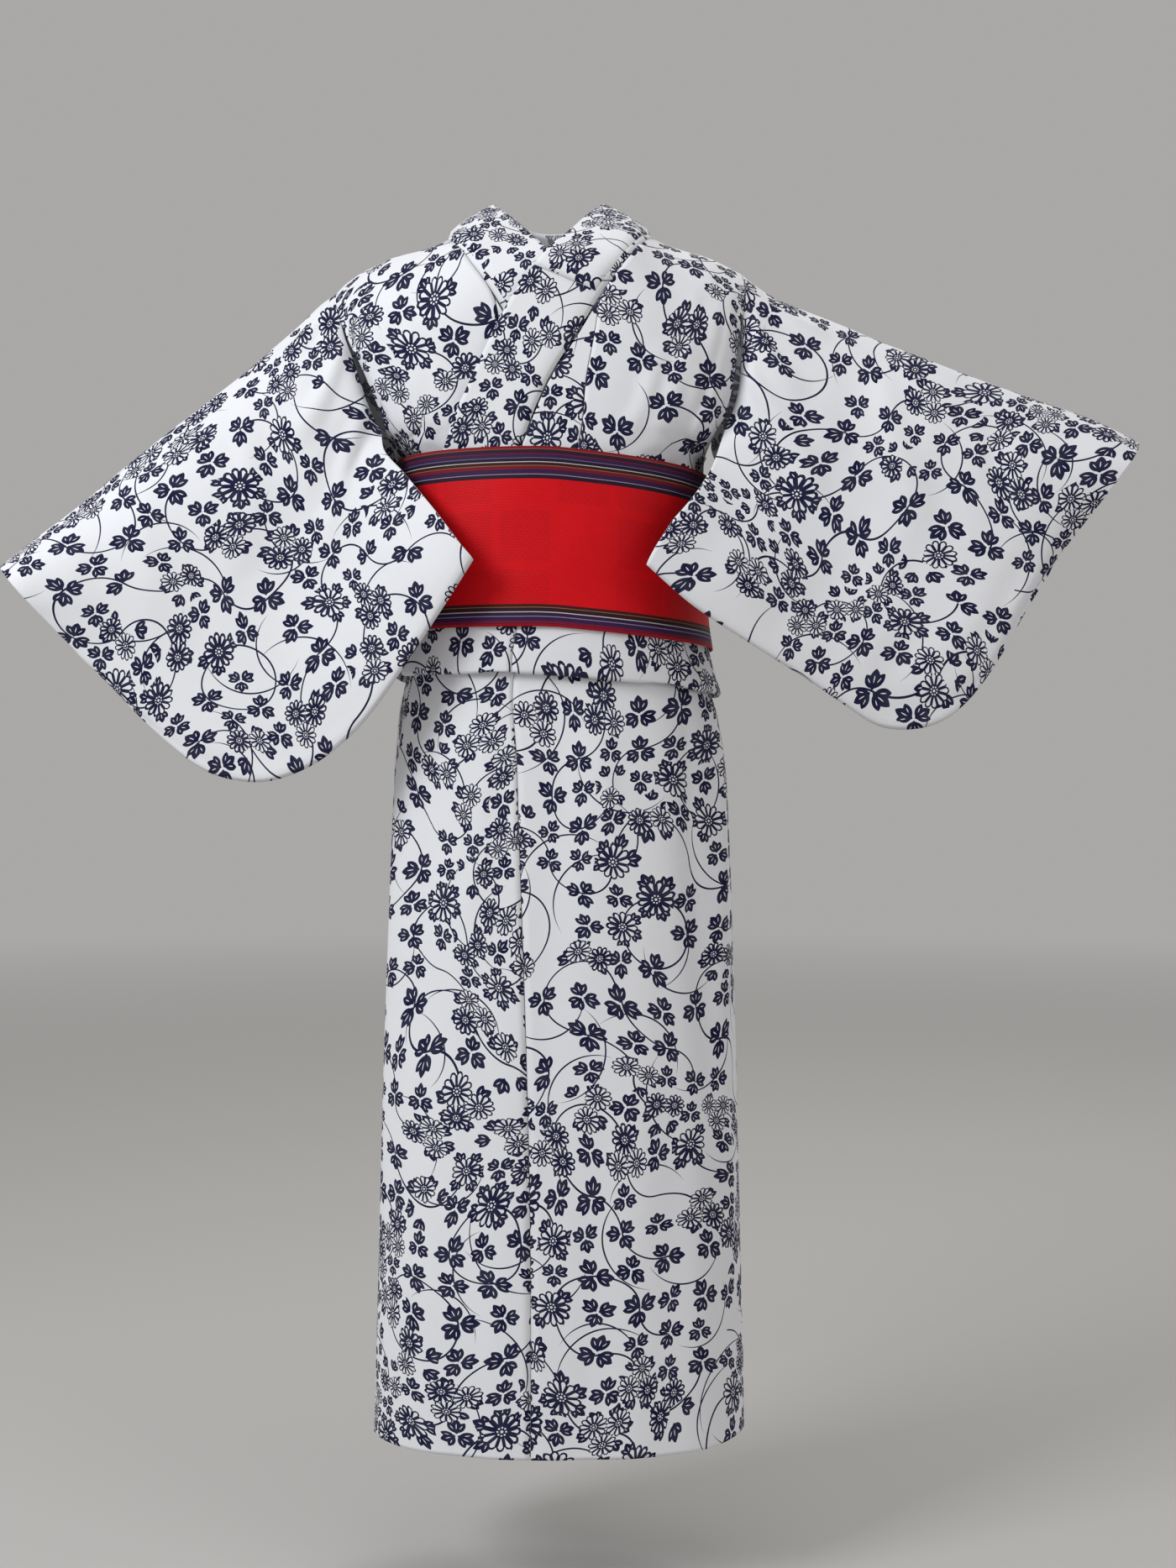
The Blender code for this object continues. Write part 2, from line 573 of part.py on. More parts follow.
# Free edges of the sleeve next to the body, below the armhole: in front of the belt, and
# round the side of the body. Signs are for the wearer's left.
FreeEdge = namedtuple("FreeEdge", "x y z")
FREE_FRONT_LEFT = [
    FreeEdge(0.1560, -0.1035, -0.2340),
    FreeEdge(0.1440, -0.1220, -0.2560),
    FreeEdge(0.1310, -0.1400, -0.2750),
    FreeEdge(0.1148, -0.1510, -0.2941),
    FreeEdge(0.0985, -0.1630, -0.3200),
]
FREE_FRONT_RIGHT = [
    FreeEdge(-0.1540, -0.0960, -0.2240),
    FreeEdge(-0.1358, -0.1120, -0.2430),
    FreeEdge(-0.1190, -0.1330, -0.2640),
    FreeEdge(-0.1004, -0.1510, -0.2872),
    FreeEdge(-0.0800, -0.1640, -0.3150),
]
FREE_BACK = [
    FreeEdge(0.1760, 0.0450, -0.2480),
    FreeEdge(0.1800, -0.0050, -0.2660),
    FreeEdge(0.1690, -0.0600, -0.2850),
    FreeEdge(0.1400, -0.1150, -0.3060),
    FreeEdge(0.1100, -0.1500, -0.3250),
]
EDGE_REACH = 0.77            # share of the sleeve along which the armhole's shape fades out
EDGE_FADE = 3                # how quickly it does so at first
ARMHOLE_GAPS = {WEARER_LEFT: 0.0031, WEARER_RIGHT: 0.0031}  # the right seam turns harder
ARMHOLE_FOOT = -0.198        # level at which the sleeve's seam ends and its free edge starts


def spaced(points, count):
    """The same path with its points evenly spaced."""
    lengths = [0.0]
    for before, after in zip(points, points[1:]):
        lengths.append(lengths[-1] + (after - before).length)
    even = []
    index = 0
    for step in range(count + 1):
        target = lengths[-1] * step / count
        while index < len(points) - 2 and lengths[index + 1] < target:
            index += 1
        share = (target - lengths[index]) / (lengths[index + 1] - lengths[index])
        even.append(points[index].lerp(points[index + 1], share))
    return even


def armhole_path(body, side, back):
    """Edge of the body panel at the armhole, from the shoulder down, moved just off it."""
    crest = min(range(len(body)), key=lambda index: abs(body[index][-1].y - SHOULDER_Y))
    rows = body[crest:] if back else body[crest::-1]
    path = []
    for row in rows:
        edge = row[-1]
        if edge.z < ARMHOLE_FOOT:
            break
        off = (edge - row[-2]).normalized()
        path.append(edge + off * ARMHOLE_GAPS[side])
    return path


def sleeve_edge(body, side, back, count):
    """Body end of one layer of the sleeve: sewn to the armhole, then free to its corner."""
    lines = SLEEVE_LEFT if side == WEARER_LEFT else SLEEVE_RIGHT
    path = armhole_path(body, side, back)
    if back:
        path += [Vector((edge.x * side, edge.y, edge.z)) for edge in FREE_BACK]
    else:
        free = FREE_FRONT_LEFT if side == WEARER_LEFT else FREE_FRONT_RIGHT
        path += [Vector(edge) for edge in free]
    path.append(Vector((lines[0].low_x, lines[0].low_y, lines[0].low_z)))
    return spaced(path, count)


def sleeve_point(line, down, facing):
    """Point of a sleeve layer at a station, a share of the way from ridge to low edge."""
    ridge = Vector((line.ridge_x, line.ridge_y, line.ridge_z))
    low = Vector((line.low_x, line.low_y, line.low_z))
    point = ridge.lerp(low, down)
    width = line.spread * table_value(SPREADS, "down", down, "width")
    point.y += facing * width
    return point


def sleeve_sheet(body, side, stations, count):
    """The sleeve as a tube of rings: front layer, ridge, back layer and sewn low edge."""
    lines = SLEEVE_LEFT if side == WEARER_LEFT else SLEEVE_RIGHT
    front_edge = sleeve_edge(body, side, False, count)
    back_edge = sleeve_edge(body, side, True, count)
    grid = []
    for index in range(stations + 1):
        share = index / stations
        line = SleeveLine(*along(lines, share))
        fade = max(0.0, 1 - share / EDGE_REACH) ** EDGE_FADE
        ring = []
        for facing, edge in ((-1, front_edge), (1, back_edge)):
            layer = []
            for step in range(count + 1):
                down = step / count
                start = sleeve_point(lines[0], down, facing)
                point = sleeve_point(line, down, facing)
                layer.append(point + (edge[step] - start) * fade)
            ring.append(layer)
        front, back = ring
        grid.append(front[::-1] + back[1:-1])
    return grid


# ---------------------------------------------------------------------------- the belt
OBI_LAP_START = radians(150)   # where the outer end of the belt lies at the back
OBI_LAP = radians(72)          # how far the ends lie over each other
OBI_LIFT = 0.0026              # how far the outer lap lies off the inner one
OBI_LIFT_START = radians(330)  # turn of the winding at which it starts to be lifted
OBI_LIFT_EASE = radians(24)    # turn over which it is lifted
OBI_GRIP = -0.240              # above this level the band no longer follows the figure


def obi_sheet(rows, columns):
    """The band, wound once round the waist with its end lapped at the back."""
    grid = []
    total = 2 * pi + OBI_LAP
    for step_down in range(rows + 1):
        down = step_down / rows
        height = OBI_TOP - OBI_HEIGHT * down
        row = []
        for step in range(columns + 1):
            turned = total * step / columns
            turn = OBI_LAP_START + OBI_LAP - total + turned
            lapped = min(max((turned - OBI_LIFT_START) / OBI_LIFT_EASE, 0.0), 1.0)
            out = OUT_OBI + OBI_LIFT * lapped
            level = round_point(turn, OBI_TOP - OBI_HEIGHT / 2, out)
            lowered = height - waist_drop(level.x, OBI_TOP - OBI_HEIGHT / 2)
            point = round_point(turn, min(lowered, OBI_GRIP), out)
            row.append(Vector((point.x, point.y, lowered)))
        grid.append(row)
    return grid


# ------------------------------------------------------------------ solids from sheets
def material(name, colour, roughness, sheen):
    made = bpy.data.materials.new(name)
    made.use_nodes = True
    shader = made.node_tree.nodes["Principled BSDF"]
    shader.inputs["Base Color"].default_value = (*colour, 1.0)
    shader.inputs["Roughness"].default_value = roughness
    shader.inputs["Metallic"].default_value = 0.0
    shader.inputs["Sheen Weight"].default_value = sheen
    return made


def solid(name, grid, wall, cloth, closed=False):
    """Mesh of a sheet of rows of points, thickened to a wall on its outer side."""
    mesh = bpy.data.meshes.new(name)
    sheet = bmesh.new()
    rows = [[sheet.verts.new(point) for point in row] for row in grid]
    for upper, lower in zip(rows, rows[1:]):
        count = len(upper)
        for index in range(count if closed else count - 1):
            after = (index + 1) % count
            sheet.faces.new((upper[index], upper[after], lower[after], lower[index]))
    sheet.normal_update()
    if facing_in(sheet, closed):
        bmesh.ops.reverse_faces(sheet, faces=sheet.faces)
    sheet.to_mesh(mesh)
    sheet.free()
    piece = bpy.data.objects.new(name, mesh)
    bpy.context.collection.objects.link(piece)
    mesh.materials.append(cloth)
    mesh.shade_smooth()
    wall_modifier = piece.modifiers.new("wall", "SOLIDIFY")
    wall_modifier.thickness = wall
    wall_modifier.offset = 1.0
    wall_modifier.use_even_offset = False
    return piece


def facing_in(sheet, closed):
    """True where the sheet's faces look towards the body, or into the sleeve."""
    if closed:
        return sheet.calc_volume(signed=True) < 0
    total = 0.0
    for face in sheet.faces:
        middle = face.calc_center_median()
        total += face.normal.dot(Vector((middle.x, middle.y, 0.0)))
    return total < 0


def build():
    for old in list(bpy.data.objects):
        bpy.data.objects.remove(old, do_unlink=True)
    cotton = material("white_cotton_print", (0.62, 0.63, 0.68), 0.85, 0.10)
    woven = material("red_woven_belt", (0.60, 0.012, 0.016), 0.55, 0.15)

    left_body = body_sheet(OVER_FRONT, WEARER_LEFT, 2, 11)
    right_body = body_sheet(UNDER_FRONT, WEARER_RIGHT, 2, 11)
    solid("body_left", left_body, WALL, cotton)
    solid("body_right", right_body, WALL, cotton)
    solid("okumi_left", okumi_sheet(OVER_FRONT, 0, 2, 5), WALL, cotton)
    solid("okumi_right", okumi_sheet(UNDER_FRONT, UNDER_OKUMI_ROW, 2, 3), WALL, cotton)

    seam = line_turn("okumi_seam", OUT_OVER_SKIRT)
    under_seam = line_turn("under_seam", OUT_UNDER_SKIRT)
    side_left = fixed_turn(SEAM_TURN)
    side_right = fixed_turn(-SEAM_TURN)
    middle = fixed_turn(pi)
    over_edge = line_turn("over_edge", OUT_OVER_SKIRT)
    under_edge = line_turn("under_edge", OUT_UNDER_SKIRT)
    solid("skirt_okumi_left", skirt_sheet(over_edge, seam, OUT_OVER_SKIRT, 1, 7), WALL, cotton)
    solid("skirt_front_left", skirt_sheet(seam, side_left, OUT_OVER_SKIRT, 1, 12), WALL, cotton)
    solid("skirt_back_left", skirt_sheet(side_left, middle, OUT_BACK_SKIRT, 1, 10), WALL, cotton)
    back_end = fixed_turn(2 * pi - SEAM_TURN)
    solid("skirt_back_right", skirt_sheet(middle, back_end, OUT_BACK_SKIRT, 1, 10), WALL, cotton)
    under_front = skirt_sheet(side_right, under_seam, OUT_UNDER_SKIRT, 1, 12)
    solid("skirt_front_right", under_front, WALL, cotton)
    under_okumi = skirt_sheet(under_seam, under_edge, OUT_UNDER_SKIRT, 1, 5)
    solid("skirt_okumi_right", under_okumi, WALL, cotton)

    collar = collar_sheet(2, 4)
    solid("collar", collar, COLLAR_WALL, cotton)
    covered = collar[int(COVER_ENDS[0] * 2) : int(COVER_ENDS[1] * 2) + 1]
    cover = [row[:-1] + [row[-2].lerp(row[-1], COVER_REACH)] for row in moved_out(covered, COVER_LIFT)]
    solid("collar_cover", cover, WALL, cotton)

    solid("sleeve_left", sleeve_sheet(left_body, WEARER_LEFT, 15, 12), WALL, cotton, True)
    solid("sleeve_right", sleeve_sheet(right_body, WEARER_RIGHT, 15, 12), WALL, cotton, True)
    solid("obi", obi_sheet(3, 54), WALL, woven)


build()
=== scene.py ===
"""Looks of the cotton yukata robe: printed cotton, woven belt, plain studio.

Metres, +Z up. The front faces -Y and +X is the wearer's left. Every piece of cloth is a
sheet of points on the form of its CAD solid, made finer, creased, and given its thickness.
The print is worked out by shader nodes from each cloth's own lengths.
"""

from collections import namedtuple
from math import atan2, ceil, cos, exp, pi, radians, sin, sqrt

import bmesh
import bpy
import numpy as np
from bpy.props import FloatProperty, FloatVectorProperty, PointerProperty
from mathutils import Matrix, Vector


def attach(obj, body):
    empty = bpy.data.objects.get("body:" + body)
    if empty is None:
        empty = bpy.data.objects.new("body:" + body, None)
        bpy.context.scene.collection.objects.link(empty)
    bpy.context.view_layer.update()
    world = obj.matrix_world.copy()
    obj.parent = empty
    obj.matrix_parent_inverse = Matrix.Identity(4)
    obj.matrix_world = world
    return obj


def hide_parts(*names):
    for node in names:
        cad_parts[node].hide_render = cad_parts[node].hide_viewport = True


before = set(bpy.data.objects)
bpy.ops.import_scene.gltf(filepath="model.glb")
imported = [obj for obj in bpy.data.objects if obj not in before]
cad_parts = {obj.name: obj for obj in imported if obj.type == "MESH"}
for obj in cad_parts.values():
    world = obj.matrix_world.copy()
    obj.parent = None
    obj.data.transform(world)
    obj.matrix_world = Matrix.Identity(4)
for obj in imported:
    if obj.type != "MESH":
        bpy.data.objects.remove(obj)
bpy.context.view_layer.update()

bl_info = {
    "name": "Yukata robe",
    "version": (1, 0, 0),
    "blender": (4, 5, 0),
    "location": "View3D > Sidebar > Robe",
    "description": "Builds a printed cotton robe with a woven belt",
    "category": "Object",
}

# ---------------------------------------------------------------- driving dimensions
SEAM = 0.0003  # gap between two pieces that are sewn together
MEAN_HALF = 0.140  # half width of the figure by which that gap is turned to an angle
OBI_HEIGHT = 0.166  # width of the belt's band
OBI_TOP = -0.224  # upper edge of the belt at the middle of the front
WAIST_TILT = 0.095  # fall of belt and tuck for each metre towards the wearer's left
TILT_START = -0.170  # level below which that fall sets in
TILT_EASE = 0.060  # height over which it sets in
SECTION_POWER = 2.35  # squareness of the figure's sections (2 is an ellipse)
SHOULDER_ROLL = 0.115  # depth below the shoulder line where the cloth turns upright
ROLL_POWER = 2.1  # squareness of that turn
CREST_STEPS = (0.40, 0.10)  # rows on that turn, as shares of the depth of the row below

# how far the layers lie outside the figure's sections; those of the upper part are in
# the tables of its lines
OUT_UNDER_SKIRT = 0.0005  # wearer's right front of the skirt, underneath
OUT_BACK_SKIRT = 0.0030  # back of the skirt
OUT_OVER_SKIRT = 0.0055  # wearer's left front of the skirt, on top
OUT_OBI = 0.0198  # belt, over everything


def millimetres(kind, *rows, lengths=None):
    """A table in metres. Its first columns are lengths, all of them unless a count is given."""
    table = []
    for row in rows:
        scaled = [None if value is None else value / 1000 for value in row[:lengths]]
        table.append(kind(*scaled, *(row[lengths:] if lengths else ())))
    return table


# ------------------------------------------------------------- sections of the figure
Section = namedtuple("Section", "height left right front back")
SECTIONS = millimetres(
    Section,
    (60, 230, 220, 112, 98),
    (-60, 240, 225, 114, 104),
    (-120, 224, 216, 118, 106),
    (-165, 206, 206, 120, 105),
    (-195, 184, 190, 120, 104),
    (-210, 158, 167, 120, 104),
    (-224, 135, 143, 120, 104),
    (-245, 131, 136, 119, 104),
    (-310, 130, 132, 118, 106),
    (-390, 131, 136, 115, 110),
    (-430, 137, 146, 113, 114),
    (-460, 143, 158, 112, 118),
    (-520, 147, 168, 112, 123),
    (-620, 150, 173, 113, 124),
    (-800, 156, 178, 114, 119),
    (-1000, 163, 182, 115, 114),
    (-1200, 170, 186, 116, 111),
)

ShoulderLine = namedtuple("ShoulderLine", "reach height")
SHOULDERS = millimetres(
    ShoulderLine,
    (0, 36),
    (53, 24),
    (108, -11),
    (154, -26),
    (186, -41),
    (205, -56),
    (230, -88),
)
SHOULDER_Y = 0.004  # how far behind the middle the top of the shoulder lies


def table_value(rows, key, value, column):
    """Smooth value of one column of a table, read at a value of its key column."""
    keys = [getattr(row, key) for row in rows]
    if keys[0] > keys[-1]:
        rows = rows[::-1]
        keys = keys[::-1]
    value = min(max(value, keys[0]), keys[-1])
    index = 0
    while index < len(keys) - 2 and value > keys[index + 1]:
        index += 1
    values = [getattr(row, column) for row in rows]
    span = keys[index + 1] - keys[index]
    share = (value - keys[index]) / span
    return cubic(values, index, share)


def curve(before, start, end, after, share):
    """Catmull-Rom value between the middle two of four values, or arrays of them."""
    square = share * share
    cube = square * share
    return (
        start * (2 * cube - 3 * square + 1)
        + (end - before) * 0.5 * (cube - 2 * square + share)
        + end * (3 * square - 2 * cube)
        + (after - start) * 0.5 * (cube - square)
    )


def cubic(values, index, share):
    """Smooth value between values[index] and values[index + 1]."""
    places = range(index - 1, index + 3)
    return curve(*(values[min(max(place, 0), len(values) - 1)] for place in places), share)


def along(rows, share):
    """Every column of a table, read a share of the way down its rows."""
    place = share * (len(rows) - 1)
    index = min(int(place), len(rows) - 2)
    return [cubic(column, index, place - index) for column in zip(*rows)]


def lines_down(rows, steps, first=0.0, last=None):
    """The lines of a table from one place to another, a number of steps apart for each row."""
    end = len(rows) - 1
    last = end if last is None else last
    count = ceil(last - first) * steps
    places = [first + (last - first) * step / count for step in range(count + 1)]
    return [type(rows[0])(*along(rows, place / end)) for place in places]


def section(height):
    """Middle, half width, front and back reach of the figure at a height."""
    names = ("left", "right", "front", "back")
    left, right, front, back = (table_value(SECTIONS, "height", height, name) for name in names)
    return (right - left) / 2, (right + left) / 2, front, back


def turn_at(x, height, out):
    """Angle round the section, 0 at the front, at which the cloth reaches x."""
    middle, half, _, _ = section(height)
    reach = (x - middle) / (half + out)
    reach = min(max(reach, -1.0), 1.0)
    sine = abs(reach) ** (SECTION_POWER / 2)
    turn = atan2(sine, sqrt(max(0.0, 1 - sine * sine)))
    return turn if reach > 0 else -turn


def round_point(turn, height, out):
    """Point of the figure's section at a height and an angle, moved out."""
    middle, half, front, back = section(height)
    power = 2 / SECTION_POWER
    sine = sin(turn)
    cosine = cos(turn)
    x = middle + (half + out) * (1 if sine > 0 else -1) * abs(sine) ** power
    reach = front if cosine > 0 else back
    y = -(reach + out) * (1 if cosine > 0 else -1) * abs(cosine) ** power
    return Vector((x, y, height))


def shoulder_height(x):
    """Height of the shoulder line at x."""
    return table_value(SHOULDERS, "reach", abs(x), "height")


def upper_point(turn, height, out):
    """Point of the upper part, where the section rolls over to the shoulder line."""
    point = round_point(turn, height, out)
    below = shoulder_height(point.x) + out - height
    if below < SHOULDER_ROLL:
        share = 1 - max(below, 0.0) / SHOULDER_ROLL
        reach = (1 - share ** ROLL_POWER) ** (1 / ROLL_POWER)
        point.y = SHOULDER_Y + (point.y - SHOULDER_Y) * reach
    return point


# -------------------------------------------------------------- folds of the upper part
FOLD_GROWTH = 0.6  # how early along its run a fold comes to its full height
FOLD_FADE = 0.030  # folds die out this far below the belt's upper edge
Fold = namedtuple("Fold", "x0 z0 x1 z1 width height")
CHEST_FOLDS = millimetres(
    Fold,
    (-185, -55, -112, -225, 9, 5),
    (-155, -60, -85, -225, 8, 3.5),
    (-128, -70, -70, -215, 8, 2.2),
    (176, -60, 132, -228, 8.5, 5.5),
    (158, -80, 105, -228, 8.5, 3.5),
    (120, -100, 78, -228, 8, 2.5),
)
BACK_FOLDS = millimetres(
    Fold,
    (-180, -60, -105, -225, 9.5, 4.5),
    (-140, -90, -75, -225, 8.5, 3),
    (180, -60, 110, -225, 9.5, 4.5),
    (138, -85, 70, -225, 8.5, 3),
)


def fold_height(folds, x, z):
    """Height of the ridges that run from the armholes to the belt."""
    total = 0.0
    for fold in folds:
        run_x = fold.x1 - fold.x0
        run_z = fold.z1 - fold.z0
        length = sqrt(run_x * run_x + run_z * run_z)
        down = ((x - fold.x0) * run_x + (z - fold.z0) * run_z) / length
        across = ((x - fold.x0) * run_z - (z - fold.z0) * run_x) / length
        share = min(max(down / length, 0.0), 1.0)
        overrun = down - share * length
        distance = sqrt(across * across + overrun * overrun)
        total += fold.height * share ** FOLD_GROWTH * exp(-((distance / fold.width) ** 2))
    return total


# ------------------------------------------------ cut lines of the upper part, as worn
# Rows run from the inner end of the tuck, down to its fold, up to the shoulder line. Each
# gives the seam to the collar, the seam between overlap panel and front, and the armhole
# or side edge.
FrontLine = namedtuple("FrontLine", "collar_x collar_z seam_x seam_z arm_x arm_z out")
OVER_FRONT = millimetres(
    FrontLine,
    (-132, -385, -26, -385, 170, -385, 10.3),
    (-137, -412, -30, -412, 170, -412, 11.8),
    (-140, -430, -33.2, -432.5, 170, -432.5, 13.9),
    (-140, -412, -32, -412, 170, -412, 16),
    (-134, -372, -24, -372, 170, -372, 16),
    (-100, -335, -12, -335, 170, -335, 15),
    (-66, -295, 3, -295, 170, -290, 13),
    (-43, -258, 18, -258, 170, -262, 11.2),
    (-23.9, -222.1, 28.1, -224, 160, -238, 10.5),
    (-11.6, -190.8, 32.8, -193, 167, -208, 10.5),
    (3.9, -157.1, 35.5, -161, 176, -176, 10.5),
    (29.6, -116.3, 43, -120, 181.5, -143, 10.5),
    (50.6, -80.6, 50.6, -80.6, 184, -112, 10.5),
    (73.1, -47, 73.1, -47, 186.5, -86, 10),
    (88.4, -24.6, 88.4, -24.6, 188, -65, 8.8),
    (103.5, -6, 103.5, -6, 187, -48, 7.2),
)
UNDER_FRONT = millimetres(
    FrontLine,
    (-143, -385, -143, -385, -170, -385, 10.3),
    (-145, -412, -145, -412, -170, -412, 11.8),
    (-147, -430, -147, -430, -170, -431, 13.9),
    (-146, -412, -146, -412, -170, -412, 16),
    (-143, -374, -143, -374, -170, -374, 15.5),
    (-118, -342, -118, -342, -170, -342, 8.5),
    (52, -295, -3, -295, -170, -295, 3.5),
    (43, -258, -18, -258, -170, -262, 3),
    (23.9, -222.1, -28.1, -224, -144, -238, 3),
    (11.6, -190.8, -32.8, -193, -156, -205, 3),
    (-3.9, -157.1, -35.5, -161, -169, -173, 3),
    (-29.6, -116.3, -43, -120, -181, -142, 3),
    (-50.6, -80.6, -50.6, -80.6, -193, -115, 3.2),
    (-73.1, -47, -73.1, -47, -200, -94, 3.8),
    (-90, -23, -90, -23, -204, -77, 4.8),
    (-104.5, -5, -104.5, -5, -206, -63, 6),
)
KENSAKI_ROW = 12  # row at which the overlap panel ends in its point
KENSAKI_SHORT = 0.06  # share of a row by which the point stays off the collar
UNDER_OKUMI_ROW = 6  # row at which the hidden overlap panel starts, under the belt

# The back of each side, from the shoulder line down and round the tuck.
BackLine = namedtuple("BackLine", "inner_x inner_z left_x right_x arm_z out")
BACK = millimetres(
    BackLine,
    (103.5, -14, 190, 206, -76, 6),
    (88, -21, 189, 203, -96, 6),
    (60, -30, 186, 196, -118, 6),
    (28, -35, 180, 187, -142, 6),
    (0, -38, 171, 176, -168, 6),
    (0, -80, 160, 162, -194, 6),
    (0, -140, 152, 152, -220, 6),
    (0, -200, 150, 150, -244, 6),
    (0, -255, 170, 170, -268, 6),
    (0, -295, 170, 170, -295, 7),
    (0, -335, 170, 170, -335, 10),
    (0, -372, 170, 170, -372, 16),
    (0, -412, 170, 170, -412, 16),
    (0, -432.5, 170, 170, -432.5, 13.9),
    (0, -412, 170, 170, -412, 11.8),
    (0, -385, 170, 170, -385, 8),
)
WEARER_LEFT = 1
WEARER_RIGHT = -1


def waist_drop(x, z):
    """How much the belt and the tuck sink towards the wearer's left."""
    near = min(max((TILT_START - z) / TILT_EASE, 0.0), 1.0)
    return WAIST_TILT * max(x, 0.0) * near


def edge_turn(x, z, out, side, back):
    """Angle of an edge given by its x. An x at or past the side is the line down the side."""
    turn = turn_at(x, z, out)
    return side * pi - turn if back else turn


def upper_row(x0, z0, x1, z1, out, back, count):
    """Points from one edge of a panel to the other, along the figure."""
    side = 1 if x1 > 0 else -1
    turn0 = side * pi if back and x0 == 0 else edge_turn(x0, z0, out, side, back)
    turn1 = edge_turn(x1, z1, out, side, back)
    trim = SEAM / 2 / MEAN_HALF * (1 if turn1 > turn0 else -1)
    turn0 += trim
    turn1 -= trim
    row = []
    for step in range(count + 1):
        share = step / count
        turn = turn0 + (turn1 - turn0) * share
        z = z0 + (z1 - z0) * share
        plain = upper_point(turn, z, out)
        folds = BACK_FOLDS if back else CHEST_FOLDS
        ridge = fold_height(folds, plain.x, z)
        if z < OBI_TOP:
            ridge *= max(0.0, 1 - (OBI_TOP - z) / FOLD_FADE)
        lowered = z - waist_drop(plain.x, z)
        row.append(upper_point(turn, lowered, out + ridge))
    return row


def crest_row(row, out, back, fraction):
    """Row nearer the top of the shoulder: each point of a row, raised along the roll."""
    raised = []
    for point in row:
        top = shoulder_height(point.x) + out
        height = top - (top - point.z) * fraction
        side = 1 if point.x > 0 else -1
        turn = edge_turn(point.x, height, out, side, back)
        raised.append(upper_point(turn, height, out))
    return raised


def body_sheet(front_lines, side, steps, columns):
    """Front, shoulder and back of one side, which are one length of cloth."""
    grid = []
    for line in lines_down(front_lines, steps):
        edges = (line.seam_x, line.seam_z, line.arm_x, line.arm_z)
        grid.append(upper_row(*edges, line.out, False, columns))
    last_front = grid[-1]
    for fraction in CREST_STEPS:
        grid.append(crest_row(last_front, line.out, False, fraction))
    backs = []
    for line in lines_down(BACK, steps):
        inner_x = max(line.inner_x, 0.0) * side
        arm_x = line.left_x if side == WEARER_LEFT else -line.right_x
        edges = (inner_x, line.inner_z, arm_x, line.arm_z)
        backs.append(upper_row(*edges, line.out, True, columns))
    for fraction in (0.0, *reversed(CREST_STEPS)):
        grid.append(crest_row(backs[0], BACK[0].out, True, fraction))
    return grid + backs


def okumi_sheet(front_lines, first_row, steps, columns):
    """Overlap panel between the collar and the front, up to its point."""
    grid = []
    for line in lines_down(front_lines, steps, first_row, KENSAKI_ROW - KENSAKI_SHORT):
        edges = (line.collar_x, line.collar_z, line.seam_x, line.seam_z)
        grid.append(upper_row(*edges, line.out, False, columns))
    return grid


# --------------------------------------------------------------------------- the skirt
SkirtLine = namedtuple("SkirtLine", "height over_edge okumi_seam under_seam under_edge")
SKIRT = millimetres(
    SkirtLine,
    (-345, -108, -12, 40, 110),
    (-400, -121, -26, 34, 118),
    (-453, -134, -32.8, 30, 125),
    (-510, -143, -29, 26, 130),
    (-590, -150, -26.5, 22, 133),
    (-750, -156.5, -21.2, 18, 136),
    (-915, -163, -17, 16, 138),
    (-1050, -167, -15.8, 15, 140),
    (-1166, -170, -15.8, 15, 142),
)
SEAM_TURN = radians(96)  # the side seams lie a little behind the widest line
FRONT_TURN = radians(58)  # past this angle the front layers ease down to the back's


def skirt_out(turn, front_out):
    """Layer height round the skirt: the front's own, easing to the back's at the side."""
    share = (abs(turn) - FRONT_TURN) / (SEAM_TURN - FRONT_TURN)
    share = min(max(share, 0.0), 1.0)
    share = share * share * (3 - 2 * share)
    return front_out + (OUT_BACK_SKIRT - front_out) * share


def skirt_sheet(start_of, end_of, front_out, steps, columns):
    """Panel of the skirt between two edges, each given as an angle for a row."""
    grid = []
    for line in lines_down(SKIRT, steps):
        half = section(line.height)[1]
        turn0 = start_of(line) + SEAM / 2 / half
        turn1 = end_of(line) - SEAM / 2 / half
        row = []
        for step in range(columns + 1):
            turn = turn0 + (turn1 - turn0) * step / columns
            out = skirt_out(turn, front_out)
            row.append(round_point(turn, line.height, out))
        grid.append(row)
    return grid


def line_turn(column, out):
    """Angle, row by row, of one of the skirt's lines."""
    return lambda line: turn_at(getattr(line, column), line.height, out)


def fixed_turn(turn):
    """The same angle for every row."""
    return lambda line: turn


# -------------------------------------------------------------------------- the collar
# From the middle of the back over the shoulder and down the front. The fold is the edge
# round the neck and the seam is the edge sewn to the panels.
CollarLine = namedtuple("CollarLine", "fold_x fold_z fold_y seam_x seam_z out")
COLLAR_BACK = millimetres(
    CollarLine,
    (0, 30, 80, 0, -37.5, 8.8),
    (22, 32, 76, 29, -34.5, 8.8),
    (41, 36, 60, 61, -29.5, 8.8),
    (52, 38, 34, 87, -21.5, 8.8),
)
COLLAR_OVER = millimetres(
    CollarLine,
    (53, 37.5, 2, 103.5, None, 9.8),
    (44, 23.5, -26, 96, -13, 11.2),
    (31, 5.5, -55, 86, -27.5, 12.4),
    (12.5, -19.5, -88.5, 73.1, -47, 13.7),
    (-13, -54, None, 50.6, -80.6, 14),
    (-37.2, -89.4, None, 29.6, -116.3, 13.6),
    (-60, -135, None, 3.9, -157.1, 13.1),
    (-80, -179, None, -11.6, -190.8, 13.1),
    (-96, -218, None, -23.9, -222.1, 13.1),
    (-108, -252, None, -43, -258, 13.8),
    (-118, -285, None, -64, -292, 15.5),
)
